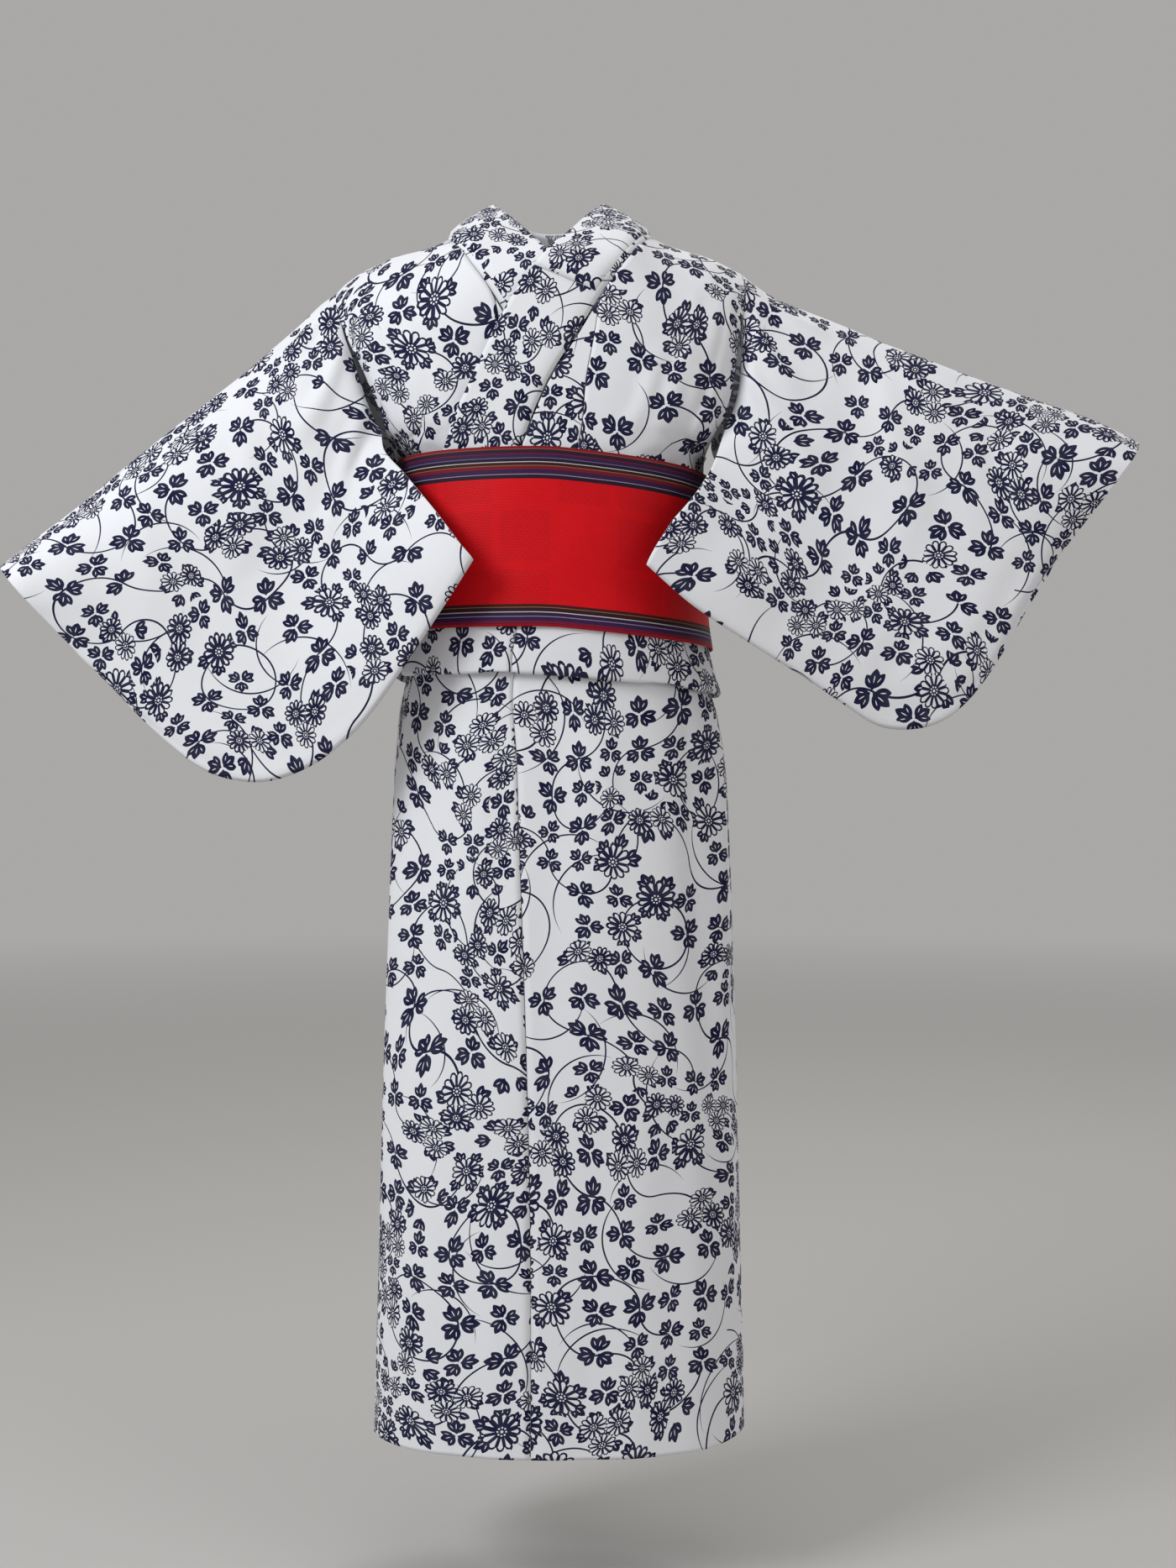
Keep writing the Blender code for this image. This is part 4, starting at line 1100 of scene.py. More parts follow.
class Wire:
    """A number between shader nodes: sums, products and tests of it add nodes."""

    __add__ = __radd__ = math_method("ADD")
    __sub__ = math_method("SUBTRACT")
    __mul__ = __rmul__ = both = math_method("MULTIPLY")
    __truediv__ = math_method("DIVIDE")
    below = math_method("LESS_THAN")
    above = math_method("GREATER_THAN")
    least = math_method("MINIMUM")
    either = math_method("MAXIMUM")

    def __init__(self, tree, socket):
        self.tree = tree
        self.socket = socket

    def node(self, kind, operation, values):
        made = self.tree.nodes.new(kind)
        if operation:
            made.operation = operation
        for socket, value in zip(made.inputs, values):
            if isinstance(value, Wire):
                self.tree.links.new(value.socket, socket)
            else:
                socket.default_value = value
        return Wire(self.tree, made.outputs[0])

    def math(self, operation, *others):
        return self.node("ShaderNodeMath", operation, (self, *others))

    def __rsub__(self, other):
        return self.math("MULTIPLY_ADD", -1.0, other)

    def without(self, other):
        return self.math("MULTIPLY", 1.0 - other)

    def size(self):
        return self.math("ABSOLUTE")

    def whole(self):
        return self.math("FLOOR")

    def parts(self):
        made = self.tree.nodes.new("ShaderNodeSeparateXYZ")
        self.tree.links.new(self.socket, made.inputs[0])
        return [Wire(self.tree, socket) for socket in made.outputs]

    def chances(self, salt):
        """Four even random numbers of a cell, from its whole-number corner."""
        made = self.tree.nodes.new("ShaderNodeTexWhiteNoise")
        made.noise_dimensions = "4D"
        self.tree.links.new(self.socket, made.inputs["Vector"])
        made.inputs["W"].default_value = salt
        colour = Wire(self.tree, made.outputs["Color"])
        return [Wire(self.tree, made.outputs["Value"])] + colour.parts()


def joined(x, y):
    """Both numbers as one vector."""
    return x.node("ShaderNodeCombineXYZ", None, (x, y))


def reach(x, y):
    """Distance from the origin."""
    return (x * x + y * y).math("SQRT")


def turned(x, y, angle):
    """Coordinates in a frame that is turned by a fixed angle."""
    return x * cos(angle) + y * sin(angle), y * cos(angle) - x * sin(angle)


def folded(turn, count):
    """Angle from the middle of the nearest of count equal sectors, and the sector."""
    width = 2 * pi / count
    sector = (turn / width).math("ROUND")
    return turn - sector * width, sector


def waves(place, length):
    """Even waves of a length, from -1 to 1."""
    return (place * (2 * pi / length)).math("SINE")


def noise(tree, coordinate, scale, detail=2.0, output="Fac"):
    """Soft random value over the cloth."""
    node = tree.nodes.new("ShaderNodeTexNoise")
    node.noise_dimensions = "2D"
    node.inputs["Scale"].default_value = scale
    node.inputs["Detail"].default_value = detail
    tree.links.new(coordinate, node.inputs["Vector"])
    return Wire(tree, node.outputs[output])


def lobe(x, y, start, length, half):
    """Signed distance-like value of a pointed leaf lobe along x: below 0 inside."""
    share = (x - start) / length
    bow = share * (1.0 - share) * 4.0
    return y.size() - bow.either(0.0).math("POWER", 0.8) * half


def leaf(x, y, size):
    """Ink and cover of one leaf with its base at the origin and its tip at x = size."""
    middle = lobe(x, y, 0.0, size, size * 0.27)
    slanted_x, slanted_y = turned(x - size * 0.08, y.size(), radians(36))
    flank = lobe(slanted_x, slanted_y, 0.0, size * 0.80, size * 0.22)
    solid = middle.least(flank).below(0.0)
    vein = lobe(x, y, size * 0.32, size * 0.36, size * 0.026).below(0.0)
    side_vein = lobe(slanted_x, slanted_y, size * 0.30, size * 0.28, size * 0.024).below(0.0)
    return solid.without(vein.either(side_vein)), solid


def flower(x, y, size, petals, weight):
    """Ink and cover of one flower of a radius: outlined petals round a dotted disc."""
    distance = reach(x, y) / size
    turn = y.math("ARCTAN2", x)
    across, _ = folded(turn, petals)
    apart = (pi / petals - across.size()) * distance
    cap = reach(distance - PETAL_END, across * distance)
    solid = cap.least(distance - PETAL_START).below(PETAL_HALF)
    inner = (cap + weight * 1.25).least(distance - PETAL_START).below(PETAL_HALF)
    petal = inner.both(apart.above(weight)).both(distance.above(0.34))
    eyes, _ = folded(turn, 8)
    eye = reach(distance - EYE_RING, eyes * EYE_RING).below(0.045)
    hub = distance.below(0.07)
    return solid.without(petal).without(eye.either(hub)), solid


# flower, as shares of its radius
PETAL_START = 0.61
PETAL_END = 0.80
PETAL_HALF = 0.195
EYE_RING = 0.20
# print, in metres
WOBBLE = 0.036  # reach of the slow swell that bends the squares of the print
VINE_HALF = 0.00082  # half width of a vine
BARE_VINES = 0.12  # share of the squares without one
SHIFT = 0.004  # reach of the chance by which a spray leaves the middle of its square
UNFLOWERED = 0.48  # the higher, the fewer sprays have flowers
SINGLES = 0.30  # share of the flowered sprays with one larger flower
FLOWER_OUT = 0.0122  # from the middle of a spray to each of its three flowers
FLOWER_RADIUS = 0.0114
LEAF_OUT = 0.0106  # from the middle of a flowered spray to the foot of a leaf
LEAF_FOOT = 0.0012  # the same in a spray without flowers
LEAF_LENGTH = 0.0148
TWIG_REACH = 0.0158  # radius of the leaves in threes between the sprays
BLADE_HALF = 0.0008  # half width of a blade of grass at its middle
BLADES = ((0.5, 0.125, 7.0), (1.9, 0.140, 8.0), (2.7, 0.110, 12.0))  # turn, square, salt


def vines(gu, gv, step):
    """Two quarter rings in each square of a grid, turned at random."""
    cell_u = gu.whole()
    cell_v = gv.whole()
    flip, keep, _, _ = joined(cell_u, cell_v).chances(1.0)
    x = gu - cell_u
    y = gv - cell_v
    x = x + flip.above(0.5) * (1.0 - 2.0 * x)
    near = (reach(x, y) - 0.5).size()
    far = (reach(1.0 - x, 1.0 - y) - 0.5).size()
    return near.least(far).below(VINE_HALF / step).both(keep.above(BARE_VINES))


def blades(u, v):
    """Long thin blades of grass: tapered arcs, one in each square of three turned grids."""
    found = None
    for angle, span, salt in BLADES:
        bu, bv = turned(u, v, angle)
        bu = bu / span
        bv = bv / span
        cell_u = bu.whole()
        cell_v = bv.whole()
        chance = joined(cell_u, cell_v).chances(salt)
        x = (bu - cell_u - 0.5) + (chance[0] - 0.5) * 0.10
        y = (bv - cell_v - 0.5) + (chance[1] - 0.5) * 0.10
        around = (y.math("ARCTAN2", x) + chance[2] * (2 * pi)).math("WRAP", pi, -pi) / 1.25
        line = (reach(x, y) - (0.33 + chance[3] * 0.08)).size()
        taper = 1.0 - around * around
        blade = line.below(taper * (BLADE_HALF / span)).both(chance[2].above(0.15))
        found = blade if found is None else found.either(blade)
    return found


def printed(tree, coordinate, step):
    """1 where the cloth is inked: vines, sprays of flowers and leaves, long blades."""
    u, v, _ = Wire(tree, coordinate).parts()
    shift_u, shift_v, _ = noise(tree, coordinate, 9.0, 0.0, "Color").parts()
    gu = (u + (shift_u - 0.5) * WOBBLE) / step
    gv = (v + (shift_v - 0.5) * WOBBLE) / step

    # sprays sit where the vines cross the sides of the squares
    ga = gu + gv
    gb = gu - gv
    slanted = step / sqrt(2)
    cell_a = ga.whole()
    cell_b = gb.whole()
    corner = joined(cell_a, cell_b)
    spin, kind, size, third = corner.chances(2.0)
    pick, presence, _, fourth = corner.chances(3.0)
    half_a = (ga - cell_a - 0.5) * slanted + (third - 0.5) * SHIFT
    half_b = (gb - cell_b - 0.5) * slanted + (fourth - 0.5) * SHIFT
    distance = reach(half_a, half_b)
    turn = (half_b.math("ARCTAN2", half_a) + spin * (2 * pi)).math("WRAP", pi, -pi)
    bloom = (noise(tree, corner.socket, 0.42, 0.0) - 0.5) * 1.2 + kind
    flowered = bloom.above(UNFLOWERED)
    single = flowered.both(pick.below(SINGLES))

    # three sectors, each with a flower; or one larger flower in the middle
    across, sector = folded(turn, 3)
    own = joined(sector, cell_a * 3.0 + cell_b).chances(4.0)
    flower_turn = across + single * (turn - across)
    flower_x = distance * flower_turn.math("COSINE") - FLOWER_OUT * (1.0 - single)
    flower_y = distance * flower_turn.math("SINE")
    radius = FLOWER_RADIUS + own[0] * 0.0016 + single * (0.0036 + size * 0.0030)
    outline = 0.082 + own[1].above(0.55) * 0.030
    bloom_ink, bloom_cover = flower(flower_x, flower_y, radius, 12, outline)
    here = flowered.both(own[2].above(0.22).either(single))

    # leaves: six round the flowers, or three on the vine
    side_many, many_sector = folded(turn + 0.4, 6)
    chance_many = joined(many_sector, cell_a + cell_b * 5.0).chances(5.0)
    side_few, few_sector = folded(turn, 3)
    chance_few = joined(few_sector, cell_a * 7.0 + cell_b).chances(6.0)
    side = side_many + (1.0 - flowered) * (side_few - side_many)
    base = LEAF_OUT * flowered + LEAF_FOOT - single * 0.001
    many = flowered.both(chance_many[0].above(0.30))
    few = (1.0 - flowered).both(chance_few[0].above(0.05)).both(presence.above(0.08))

    # and in threes of their own between the sprays
    twig_a = ga.math("ROUND")
    twig_b = gb.math("ROUND")
    twig = joined(twig_a, twig_b).chances(10.0)
    off_a = (ga - twig_a) * slanted + (twig[1] - 0.5) * 0.005
    off_b = (gb - twig_b) * slanted + (twig[2] - 0.5) * 0.005
    off = reach(off_a, off_b)
    off_side, _ = folded(off_b.math("ARCTAN2", off_a) + twig[3] * (2 * pi), 3)
    between = off.below(TWIG_REACH).both(twig[0].above(0.28))
    side = side + between * (off_side - side)
    apart = distance + between * (off - distance)
    leaf_x = apart * side.math("COSINE") - base * (1.0 - between) - 0.0010 * between
    leaf_y = apart * side.math("SINE")
    length = LEAF_LENGTH - flowered.without(between) * 0.0018 + size * 0.0022 - between * 0.0022
    leaf_ink, leaf_cover = leaf(leaf_x, leaf_y, length)
    leafed = many.either(few).either(between)

    lines = vines(gu, gv, step).either(blades(u, v))
    ink = lines.without(leaf_cover.both(leafed)).either(leaf_ink.both(leafed))
    return ink.without(bloom_cover.both(here)).either(bloom_ink.both(here))


def plain_material(name, colour, roughness, specular=0.5, sheen=0.0):
    """New material with one shader, and the shader."""
    made = bpy.data.materials.new(name)
    made.use_nodes = True
    shader = made.node_tree.nodes["Principled BSDF"]
    shader.inputs["Base Color"].default_value = (*colour, 1.0)
    shader.inputs["Roughness"].default_value = roughness
    shader.inputs["Specular IOR Level"].default_value = specular
    shader.inputs["Sheen Weight"].default_value = sheen
    return made, shader


def mixed(tree, share, first, second):
    """Colour between two colours, each a socket or three numbers."""
    node = tree.nodes.new("ShaderNodeMix")
    node.data_type = "RGBA"
    for index, value in ((0, share), (6, first), (7, second)):
        socket = node.inputs[index]
        if isinstance(value, Wire):
            tree.links.new(value.socket, socket)
        elif isinstance(value, float):
            socket.default_value = value
        else:
            socket.default_value = (*value, 1.0)
    return Wire(tree, node.outputs[2])


def cloth_lengths_node(tree):
    """The cloth's own lengths, in metres."""
    node = tree.nodes.new("ShaderNodeUVMap")
    node.uv_map = "Cloth"
    return node.outputs[0]


def woven(tree, shader, height, strength):
    """Gives a shader the fine relief of its weave."""
    bump = tree.nodes.new("ShaderNodeBump")
    bump.inputs["Strength"].default_value = strength
    bump.inputs["Distance"].default_value = WEAVE_DEPTH
    tree.links.new(height.socket, bump.inputs["Height"])
    tree.links.new(bump.outputs[0], shader.inputs["Normal"])


WEAVE_DEPTH = 0.0003
THREAD = 0.0006  # from one thread of the cotton to the next
RIB = 0.0011  # the same of the belt, across it
WARP = 0.0007  # and along it
DAMASK_SQUARE = 0.055  # squares in which the belt's faint pattern comes and goes
DAMASK = 0.006  # from one small square of that pattern to the next but one
INNER_FADE = 0.30  # share of the print that is lost on the inner side


def cotton_material(looks):
    """White cotton with its navy print, fainter on its inner side and none on its rims."""
    made, shader = plain_material("printed_cotton_cloth", looks.cotton, 0.85, 0.12, 0.03)
    tree = made.node_tree
    coordinate = cloth_lengths_node(tree)
    ink = printed(tree, coordinate, bpy.context.scene.robe_sizes.print_step)
    faded = noise(tree, coordinate, 60.0) * 0.06 + 0.955
    side = tree.nodes.new("ShaderNodeAttribute")
    side.attribute_name = "side"
    under = Wire(tree, side.outputs["Fac"])
    strength = ink * faded.least(1.0) * (1.0 - under * INNER_FADE) * under.below(1.5)
    shade = [part * 0.95 for part in looks.cotton]
    ground = mixed(tree, noise(tree, coordinate, 7.0), looks.cotton, shade)
    colour = mixed(tree, strength, ground, looks.ink)
    tree.links.new(colour.socket, shader.inputs["Base Color"])
    u, v, _ = Wire(tree, coordinate).parts()
    thread = waves(u, THREAD) + waves(v, THREAD)
    soft = noise(tree, coordinate, 38.0, 3.0) * 5.0
    woven(tree, shader, thread * 0.12 + soft, 0.25)
    return made


# Stripes of the belt: distance of their lower end from the nearer edge, and colour.
Stripe = namedtuple("Stripe", "start red green blue")
TOP_STRIPES = millimetres(
    Stripe,
    (0, 0.21, 0.006, 0.012),
    (2.4, 0.24, 0.09, 0.03),
    (3, 0.026, 0.008, 0.03),
    (6.6, 0.17, 0.008, 0.024),
    (7.4, 0.036, 0.012, 0.056),
    (10.6, 0.15, 0.11, 0.23),
    (11.3, 0.014, 0.007, 0.024),
    (14.2, 0.56, 0.53, 0.52),
    (15, 0.04, 0.008, 0.012),
    (17.6, 0.24, 0.12, 0.045),
    (18.3, 0.17, 0.006, 0.018),
    (21.4, 0.038, 0.01, 0.056),
    (25.6, 0.3, 0.26, 0.36),
    (26.3, 0.02, 0.006, 0.022),
    lengths=1,
)
BOTTOM_STRIPES = millimetres(
    Stripe,
    (0, 0.42, 0.006, 0.014),
    (2, 0.17, 0.006, 0.03),
    (5.2, 0.034, 0.01, 0.06),
    (8.8, 0.28, 0.24, 0.36),
    (9.5, 0.032, 0.01, 0.052),
    (12.8, 0.56, 0.53, 0.52),
    (13.6, 0.028, 0.008, 0.016),
    (17.2, 0.26, 0.13, 0.045),
    (17.8, 0.06, 0.006, 0.01),
    lengths=1,
)
TOP_BORDER = 0.0300
BOTTOM_BORDER = 0.0205


def striped(tree, place, stripes, width, field):
    """Colour across one border of the belt, from its edge inwards, then the field's."""
    node = tree.nodes.new("ShaderNodeValToRGB")
    ramp = node.color_ramp
    ramp.interpolation = "CONSTANT"
    ramp.elements.remove(ramp.elements[1])
    for index, stripe in enumerate(stripes):
        element = ramp.elements[0] if index == 0 else ramp.elements.new(stripe.start / width)
        element.color = (stripe.red, stripe.green, stripe.blue, 1.0)
    tree.links.new((place / width).least(1.0).socket, node.inputs[0])
    return mixed(tree, place.above(width), Wire(tree, node.outputs[0]), field)


def belt_material(looks):
    """Red woven belt with striped borders and faint squares woven tone on tone."""
    made, shader = plain_material("woven_belt_cloth", looks.belt, 0.55, 0.15, 0.02)
    tree = made.node_tree
    coordinate = cloth_lengths_node(tree)
    u, v, _ = Wire(tree, coordinate).parts()
    gu = u / DAMASK_SQUARE
    gv = v / DAMASK_SQUARE
    chance = joined(gu.whole(), gv.whole()).chances(9.0)
    x = (gu - gu.whole() - 0.5).size()
    y = (gv - gv.whole() - 0.5).size()
    patch = x.either(y).below(0.43).both(chance[0].above(0.45))
    weave = waves(u, DAMASK) * waves(v, DAMASK)
    damask = patch * (weave.above(0.0) * 0.30 + 0.22)
    field = mixed(tree, damask, looks.belt, [part * 0.80 for part in looks.belt])
    lower = striped(tree, OBI_HEIGHT - v, BOTTOM_STRIPES, BOTTOM_BORDER, field)
    colour = striped(tree, v, TOP_STRIPES, TOP_BORDER, lower)
    rib = waves(v, RIB) * 0.5 + waves(u, WARP) * 0.3
    shade = rib * 0.06 + noise(tree, coordinate, 90.0) * 0.10 + 0.93
    node = tree.nodes.new("ShaderNodeVectorMath")
    node.operation = "SCALE"
    tree.links.new(colour.socket, node.inputs[0])
    tree.links.new(shade.socket, node.inputs[3])
    tree.links.new(node.outputs[0], shader.inputs["Base Color"])
    woven(tree, shader, rib + damask, 0.35)
    return made


# ------------------------------------------------------------------------- the add-on
def colour_of(name, description, default):
    """A colour among the settings."""
    return FloatVectorProperty(
        name=name,
        description=description,
        subtype="COLOR",
        size=3,
        min=0.0,
        max=1.0,
        default=default,
    )


class RobeLooks(bpy.types.PropertyGroup):
    """Colours of the robe and the studio."""

    cotton: colour_of("Cotton", "Colour of the cloth between the print", (0.80, 0.81, 0.85))
    ink: colour_of("Ink", "Colour of the printed flowers", (0.006, 0.006, 0.040))
    belt: colour_of("Belt", "Colour of the belt's plain middle", (0.66, 0.001, 0.006))
    floor: colour_of("Floor", "Colour of the floor", (0.50, 0.49, 0.48))
    air: colour_of("Air", "Colour of the air and of its soft light", (0.40, 0.395, 0.385))


class RobeSizes(bpy.types.PropertyGroup):
    """Sizes of the print and the studio."""

    print_step: FloatProperty(
        name="Print step", description="Distance between the vines of the print",
        subtype="DISTANCE", unit="LENGTH", min=0.02, max=0.2, default=0.070,
    )
    floor_height: FloatProperty(
        name="Floor", description="Height of the floor; the robe hangs above it",
        subtype="DISTANCE", unit="LENGTH", max=-1.2, default=-1.31,
    )


ROW_STEPS = 3  # rows of a coarse sheet for each line of its table
FINER = (2, 3)  # how much finer the upper part's sheets are made, down and across
FINER_LONG = (4, 3)  # the same of skirt, sleeves and belt
NECK_REACH = (0.003, 0.006)  # of a panel under the collar, and more of it behind
NECK_EASE = 12  # rows over which a panel comes to that reach
NECK_ASIDE = (0.0, 0.020)  # distances from the middle between which it does
NECK_BEHIND = (-0.020, 0.010)  # depths between which the reach grows to that behind
SEWN_SHARE = (0.86, 1.0)  # shares of a collar's width between which it sinks to its seam
COLLAR_SINK = (0.0005, 0.0028)  # how far the collar sinks, and more at its sewn edge
COVER_SINK = (0.0022, 0.0044)  # the same of the over-collar
BELT_WAVES = ((0.0005, 21, 40), (0.0004, 47, -60))  # height, turns and slant of its soft waves
COTTON = "printed_cotton"
BELT = "woven_belt"


def add_cloth(node, points, laid, slot=COTTON, closed=False):
    """Makes a finished piece of cloth and puts it in the place of its CAD node."""
    make = cotton_material if slot == COTTON else belt_material
    cloth = bpy.data.materials.get(slot + "_cloth") or make(bpy.context.scene.robe_looks)
    piece = cloth_piece(node + "_cloth", points, laid, cloth, closed)
    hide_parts(node)
    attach(piece, "root")


def fine(grid, times, start=(0.0, 0.0), closed=False):
    """A coarse sheet made finer both ways, and its places on the flat cloth."""
    down, across = times
    points = as_array(grid)
    opened = np.concatenate([points, points[:, :1]], axis=1) if closed else points
    laid = unrolled(opened) + np.array(start)
    laid = refined(refined(laid, down, 0), across, 1)
    return refined(refined(points, down, 0), across, 1, closed), laid


def shaped(points, height, closed=False):
    """Points moved square to their sheet by a height, one for all or one for each."""
    return points + normals_of(points, closed) * np.asarray(height)[..., None]


def drawn_under(points, first_row):
    """A panel whose edge along the neck reaches a little way under the collar."""
    edge = points[:, 0]
    run = edge - points[:, 1]
    run /= np.linalg.norm(run, axis=1, keepdims=True)
    rows = eased(np.arange(len(points)), first_row, first_row + NECK_EASE)
    aside = eased(np.abs(edge[:, 0]), *NECK_ASIDE)
    reached = NECK_REACH[0] + NECK_REACH[1] * eased(edge[:, 1], *NECK_BEHIND)
    drawn = points.copy()
    drawn[:, 0] += run * (reached * rows * aside)[:, None]
    return drawn


def sunk(points, depths):
    """A collar's points, creased and sunk to what lies below, more at the sewn edge."""
    share = np.linspace(0.0, 1.0, points.shape[1])
    sewn = np.broadcast_to(eased(share, *SEWN_SHARE), points.shape[:2])
    return shaped(points, upper_height(points) - depths[0] - depths[1] * sewn)


class ROBE_OT_bodice(bpy.types.Operator):
    """Builds the two body panels of the upper part, with their tuck below the belt"""

    bl_idname = "robe.bodice"
    bl_label = "Body panels"

    def execute(self, context):
        for side, lines, name, start in (
            (WEARER_LEFT, OVER_FRONT, "body_left", (0.135, 0.050)),
            (WEARER_RIGHT, UNDER_FRONT, "body_right", (0.710, 0.310)),
        ):
            points, laid = fine(body_sheet(lines, side, ROW_STEPS, 12), FINER, start)
            lengths = lengths_of(points, 1)
            valley = valley_height(lengths[:, -1:] - lengths, points[:, -1:, 2])
            points = shaped(points, upper_height(points) + tuck_height(points) + valley)
            points = drawn_under(points, KENSAKI_ROW * ROW_STEPS * FINER[0])
            add_cloth(name, points, laid)
        return {"FINISHED"}


class ROBE_OT_okumi(bpy.types.Operator):
    """Builds the overlap panels of the upper part"""

    bl_idname = "robe.okumi"
    bl_label = "Overlap panels"

    def execute(self, context):
        for lines, first, columns, name, start in (
            (OVER_FRONT, 0, 6, "okumi_left", (0.480, 0.210)),
            (UNDER_FRONT, UNDER_OKUMI_ROW, 4, "okumi_right", (0.930, 0.170)),
        ):
            points, laid = fine(okumi_sheet(lines, first, ROW_STEPS, columns), FINER, start)
            points = shaped(points, upper_height(points) + tuck_height(points))
            add_cloth(name, points, laid)
        return {"FINISHED"}


class ROBE_OT_skirt(bpy.types.Operator):
    """Builds the six panels of the skirt"""

    bl_idname = "robe.skirt"
    bl_label = "Skirt panels"

    def execute(self, context):
        seam = line_turn("okumi_seam", OUT_OVER_SKIRT)
        under_seam = line_turn("under_seam", OUT_UNDER_SKIRT)
        over_edge = line_turn("over_edge", OUT_OVER_SKIRT)
        under_edge = line_turn("under_edge", OUT_UNDER_SKIRT)
        side_left = fixed_turn(SEAM_TURN)
        side_right = fixed_turn(-SEAM_TURN)
        middle = fixed_turn(pi)
        back_end = fixed_turn(2 * pi - SEAM_TURN)
        for name, start_of, end_of, out, columns, start in (
            ("skirt_okumi_left", over_edge, seam, OUT_OVER_SKIRT, 8, (1.300, 0.130)),
            ("skirt_front_left", seam, side_left, OUT_OVER_SKIRT, 14, (2.115, 0.360)),
            ("skirt_back_left", side_left, middle, OUT_BACK_SKIRT, 12, (2.750, 0.020)),
            ("skirt_back_right", middle, back_end, OUT_BACK_SKIRT, 12, (3.310, 0.480)),
            ("skirt_front_right", side_right, under_seam, OUT_UNDER_SKIRT, 14, (3.970, 0.240)),
            ("skirt_okumi_right", under_seam, under_edge, OUT_UNDER_SKIRT, 6, (4.520, 0.110)),
        ):
            points, laid = fine(skirt_sheet(start_of, end_of, out, 4, columns), FINER_LONG, start)
            add_cloth(name, shaped(points, skirt_height(points)), laid)
        return {"FINISHED"}


class ROBE_OT_collar(bpy.types.Operator):
    """Builds the collar and the over-collar"""

    bl_idname = "robe.collar"
    bl_label = "Collar"

    def execute(self, context):
        collar = collar_sheet(ROW_STEPS, 4)
        points, laid = fine(collar, FINER, (5.05, 0.2))
        add_cloth("collar", sunk(points, COLLAR_SINK), laid)

        first, last = (int(end * ROW_STEPS) for end in COVER_ENDS)
        cover = shaped(as_array(collar[first : last + 1]), COVER_LIFT)
        cover[:, -1] = cover[:, -2] + (cover[:, -1] - cover[:, -2]) * COVER_REACH
        points, laid = fine(cover, FINER, (5.55, 0.1))
        add_cloth("collar_cover", sunk(points, COVER_SINK), laid)
        return {"FINISHED"}


class ROBE_OT_sleeves(bpy.types.Operator):
    """Builds the two sleeves as open tubes"""

    bl_idname = "robe.sleeves"
    bl_label = "Sleeves"

    def execute(self, context):
        for side, lines, creases, name, start in (
            (WEARER_LEFT, OVER_FRONT, LEFT_SLEEVE_CREASES, "left", (6.25, 0.42)),
            (WEARER_RIGHT, UNDER_FRONT, RIGHT_SLEEVE_CREASES, "right", (7.10, 0.60)),
        ):
            tube = sleeve_sheet(body_sheet(lines, side, 2, 11), side, 24, 24)
            points, laid = fine(tube, FINER_LONG, start, True)
            points = shaped(points, sleeve_height(points, creases, 20 + side), True)
            panel = "body_" + name
            add_cloth("sleeve_" + name, points, laid, closed=True)
        return {"FINISHED"}


class ROBE_OT_belt(bpy.types.Operator):
    """Builds the woven belt"""

    bl_idname = "robe.belt"
    bl_label = "Belt"

    def execute(self, context):
        points, _ = fine(obi_sheet(8, 100), FINER_LONG)
        laid = np.stack([lengths_of(points, 1), lengths_of(points, 0)], axis=2)
        around = hip_lengths(points)
        z = points[..., 2]
        height = sum(rise * np.sin(around * turns + slant * z) for rise, turns, slant in BELT_WAVES)
        add_cloth("obi", shaped(points, height), laid, slot=BELT)
        return {"FINISHED"}


Lamp = namedtuple("Lamp", "name place target size power colour")
LAMPS = (
    Lamp("key", (-2.0, -1.7, 1.0), (-0.1, 0.0, -0.2), (1.1, 1.1), 54.0, (0.96, 0.985, 1.0)),
    Lamp("fill", (2.3, -2.4, 0.5), (0.0, 0.0, -0.4), (2.0, 2.0), 15.0, (1.0, 0.95, 0.93)),
    Lamp("top", (0.2, -0.8, 2.2), (0.0, 0.0, -0.4), (2.0, 1.4), 9.0, (1.0, 1.0, 1.0)),
    Lamp("back", (1.3, 2.4, 2.4), (0.0, 0.0, -0.6), (1.8, 1.4), 44.0, (1.0, 0.99, 0.97)),
)
CAMERA_PLACE = (0.0375, -2.0, -0.536)
CAMERA_LENS = 46.28  # mm, on a sensor 36 mm wide
FLOOR_HALF = 150.0  # half size of the floor
FLOOR_NEAR = 1.5  # distance at which the floor starts to melt into the air
FLOOR_MELTS = 7.0  # and over which it does


def add_lamp(lamp):
    """A soft rectangular light that faces its target."""
    data = bpy.data.lights.new(lamp.name, "AREA")
    data.shape = "RECTANGLE"
    data.size, data.size_y = lamp.size
    data.energy = lamp.power
    data.color = lamp.colour
    light = bpy.data.objects.new(lamp.name, data)
    light.location = lamp.place
    facing = Vector(lamp.target) - Vector(lamp.place)
    light.rotation_euler = facing.to_track_quat("-Z", "Y").to_euler()
    bpy.context.collection.objects.link(light)


def floor_material(looks):
    """Pale paper that melts into the colour of the air far from the robe."""
    made, shader = plain_material("floor_paper", looks.floor, 0.95)
    tree = made.node_tree
    place = tree.nodes.new("ShaderNodeTexCoord")
    x, y, _ = Wire(tree, place.outputs["Object"]).parts()
    far = ((reach(x, y) - FLOOR_NEAR) / FLOOR_MELTS).least(1.0).either(0.0)
    air = tree.nodes.new("ShaderNodeEmission")
    air.inputs["Color"].default_value = (*looks.air, 1.0)
    blend = tree.nodes.new("ShaderNodeMixShader")
    for socket, source in zip(blend.inputs, (far.socket, shader.outputs[0], air.outputs[0])):
        tree.links.new(source, socket)
    tree.links.new(blend.outputs[0], tree.nodes["Material Output"].inputs["Surface"])
    return made


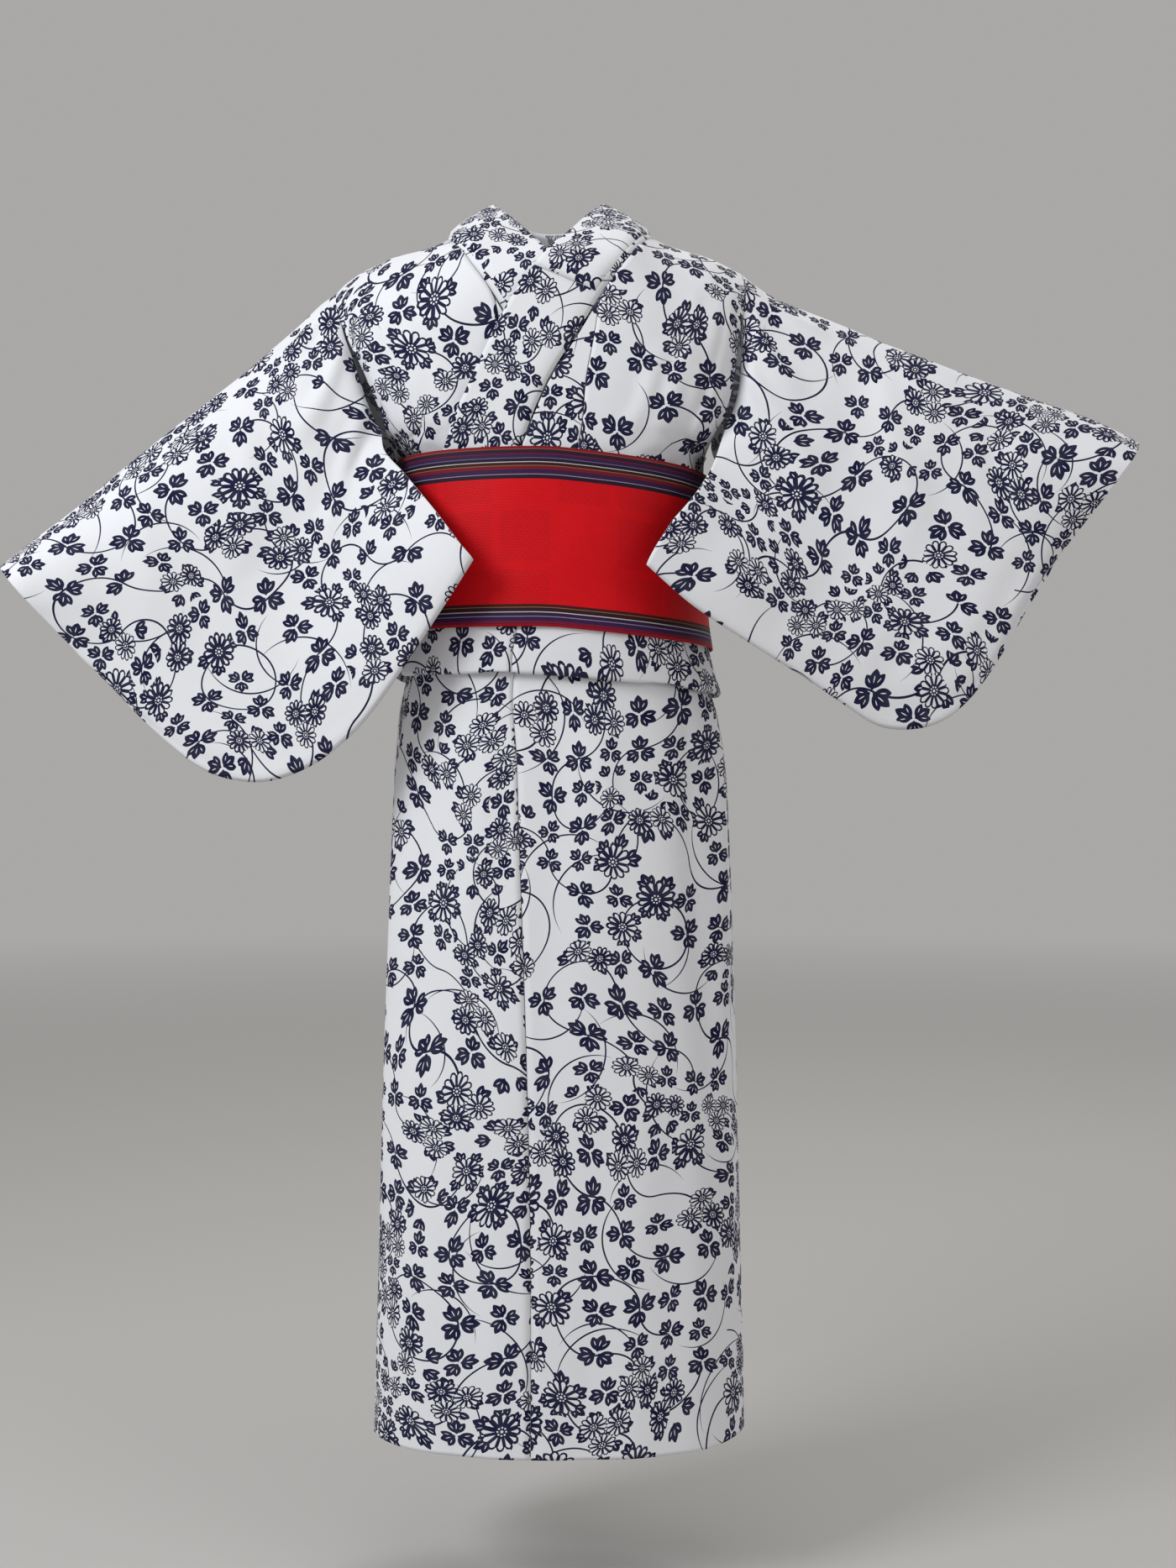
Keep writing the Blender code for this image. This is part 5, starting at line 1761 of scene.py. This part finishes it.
class ROBE_OT_stage(bpy.types.Operator):
    """Sets up the plain floor, the soft lights and the camera"""

    bl_idname = "robe.stage"
    bl_label = "Studio"

    def execute(self, context):
        scene = context.scene
        looks = scene.robe_looks
        mesh = bpy.data.meshes.new("floor")
        sheet = bmesh.new()
        level = Matrix.Translation((0.0, 0.0, scene.robe_sizes.floor_height))
        bmesh.ops.create_grid(sheet, x_segments=1, y_segments=1, size=FLOOR_HALF, matrix=level)
        sheet.to_mesh(mesh)
        sheet.free()
        floor = bpy.data.objects.new("floor", mesh)
        context.collection.objects.link(floor)
        mesh.materials.append(floor_material(looks))
        for lamp in LAMPS:
            add_lamp(lamp)

        scene.view_settings.view_transform = "Standard"
        world = bpy.data.worlds.new("studio")
        world.use_nodes = True
        world.node_tree.nodes["Background"].inputs[0].default_value = (*looks.air, 1.0)
        scene.world = world

        data = bpy.data.cameras.new("camera")
        data.lens = CAMERA_LENS
        data.sensor_width = 36.0
        camera = bpy.data.objects.new("camera", data)
        camera.location = CAMERA_PLACE
        camera.rotation_euler = (pi / 2, 0.0, 0.0)
        context.collection.objects.link(camera)
        scene.camera = camera
        return {"FINISHED"}


STEPS = (
    ROBE_OT_skirt,
    ROBE_OT_okumi,
    ROBE_OT_bodice,
    ROBE_OT_collar,
    ROBE_OT_sleeves,
    ROBE_OT_belt,
    ROBE_OT_stage,
)


class ROBE_PT_panel(bpy.types.Panel):
    """Lists the steps that build the robe"""

    bl_label = "Yukata robe"
    bl_idname = "ROBE_PT_panel"
    bl_space_type = "VIEW_3D"
    bl_region_type = "UI"
    bl_category = "Robe"

    def draw(self, context):
        layout = self.layout
        looks = context.scene.robe_looks
        for name in ("cotton", "ink", "belt", "floor", "air"):
            layout.prop(looks, name)
        sizes = context.scene.robe_sizes
        for name in ("print_step", "floor_height"):
            layout.prop(sizes, name)
        for step in STEPS:
            layout.operator(step.bl_idname)


CLASSES = (RobeLooks, RobeSizes, *STEPS, ROBE_PT_panel)


def register():
    """Adds the settings, the operators and the panel."""
    for part in CLASSES:
        bpy.utils.register_class(part)
    bpy.types.Scene.robe_looks = PointerProperty(type=RobeLooks)
    bpy.types.Scene.robe_sizes = PointerProperty(type=RobeSizes)


def unregister():
    """Takes them out again."""
    del bpy.types.Scene.robe_sizes
    del bpy.types.Scene.robe_looks
    for part in reversed(CLASSES):
        bpy.utils.unregister_class(part)


def main():
    """Builds the robe and its studio."""
    register()
    bpy.ops.robe.skirt()
    bpy.ops.robe.okumi()
    bpy.ops.robe.bodice()
    bpy.ops.robe.collar()
    bpy.ops.robe.sleeves()
    bpy.ops.robe.belt()
    bpy.ops.robe.stage()


if __name__ == "__main__":
    main()
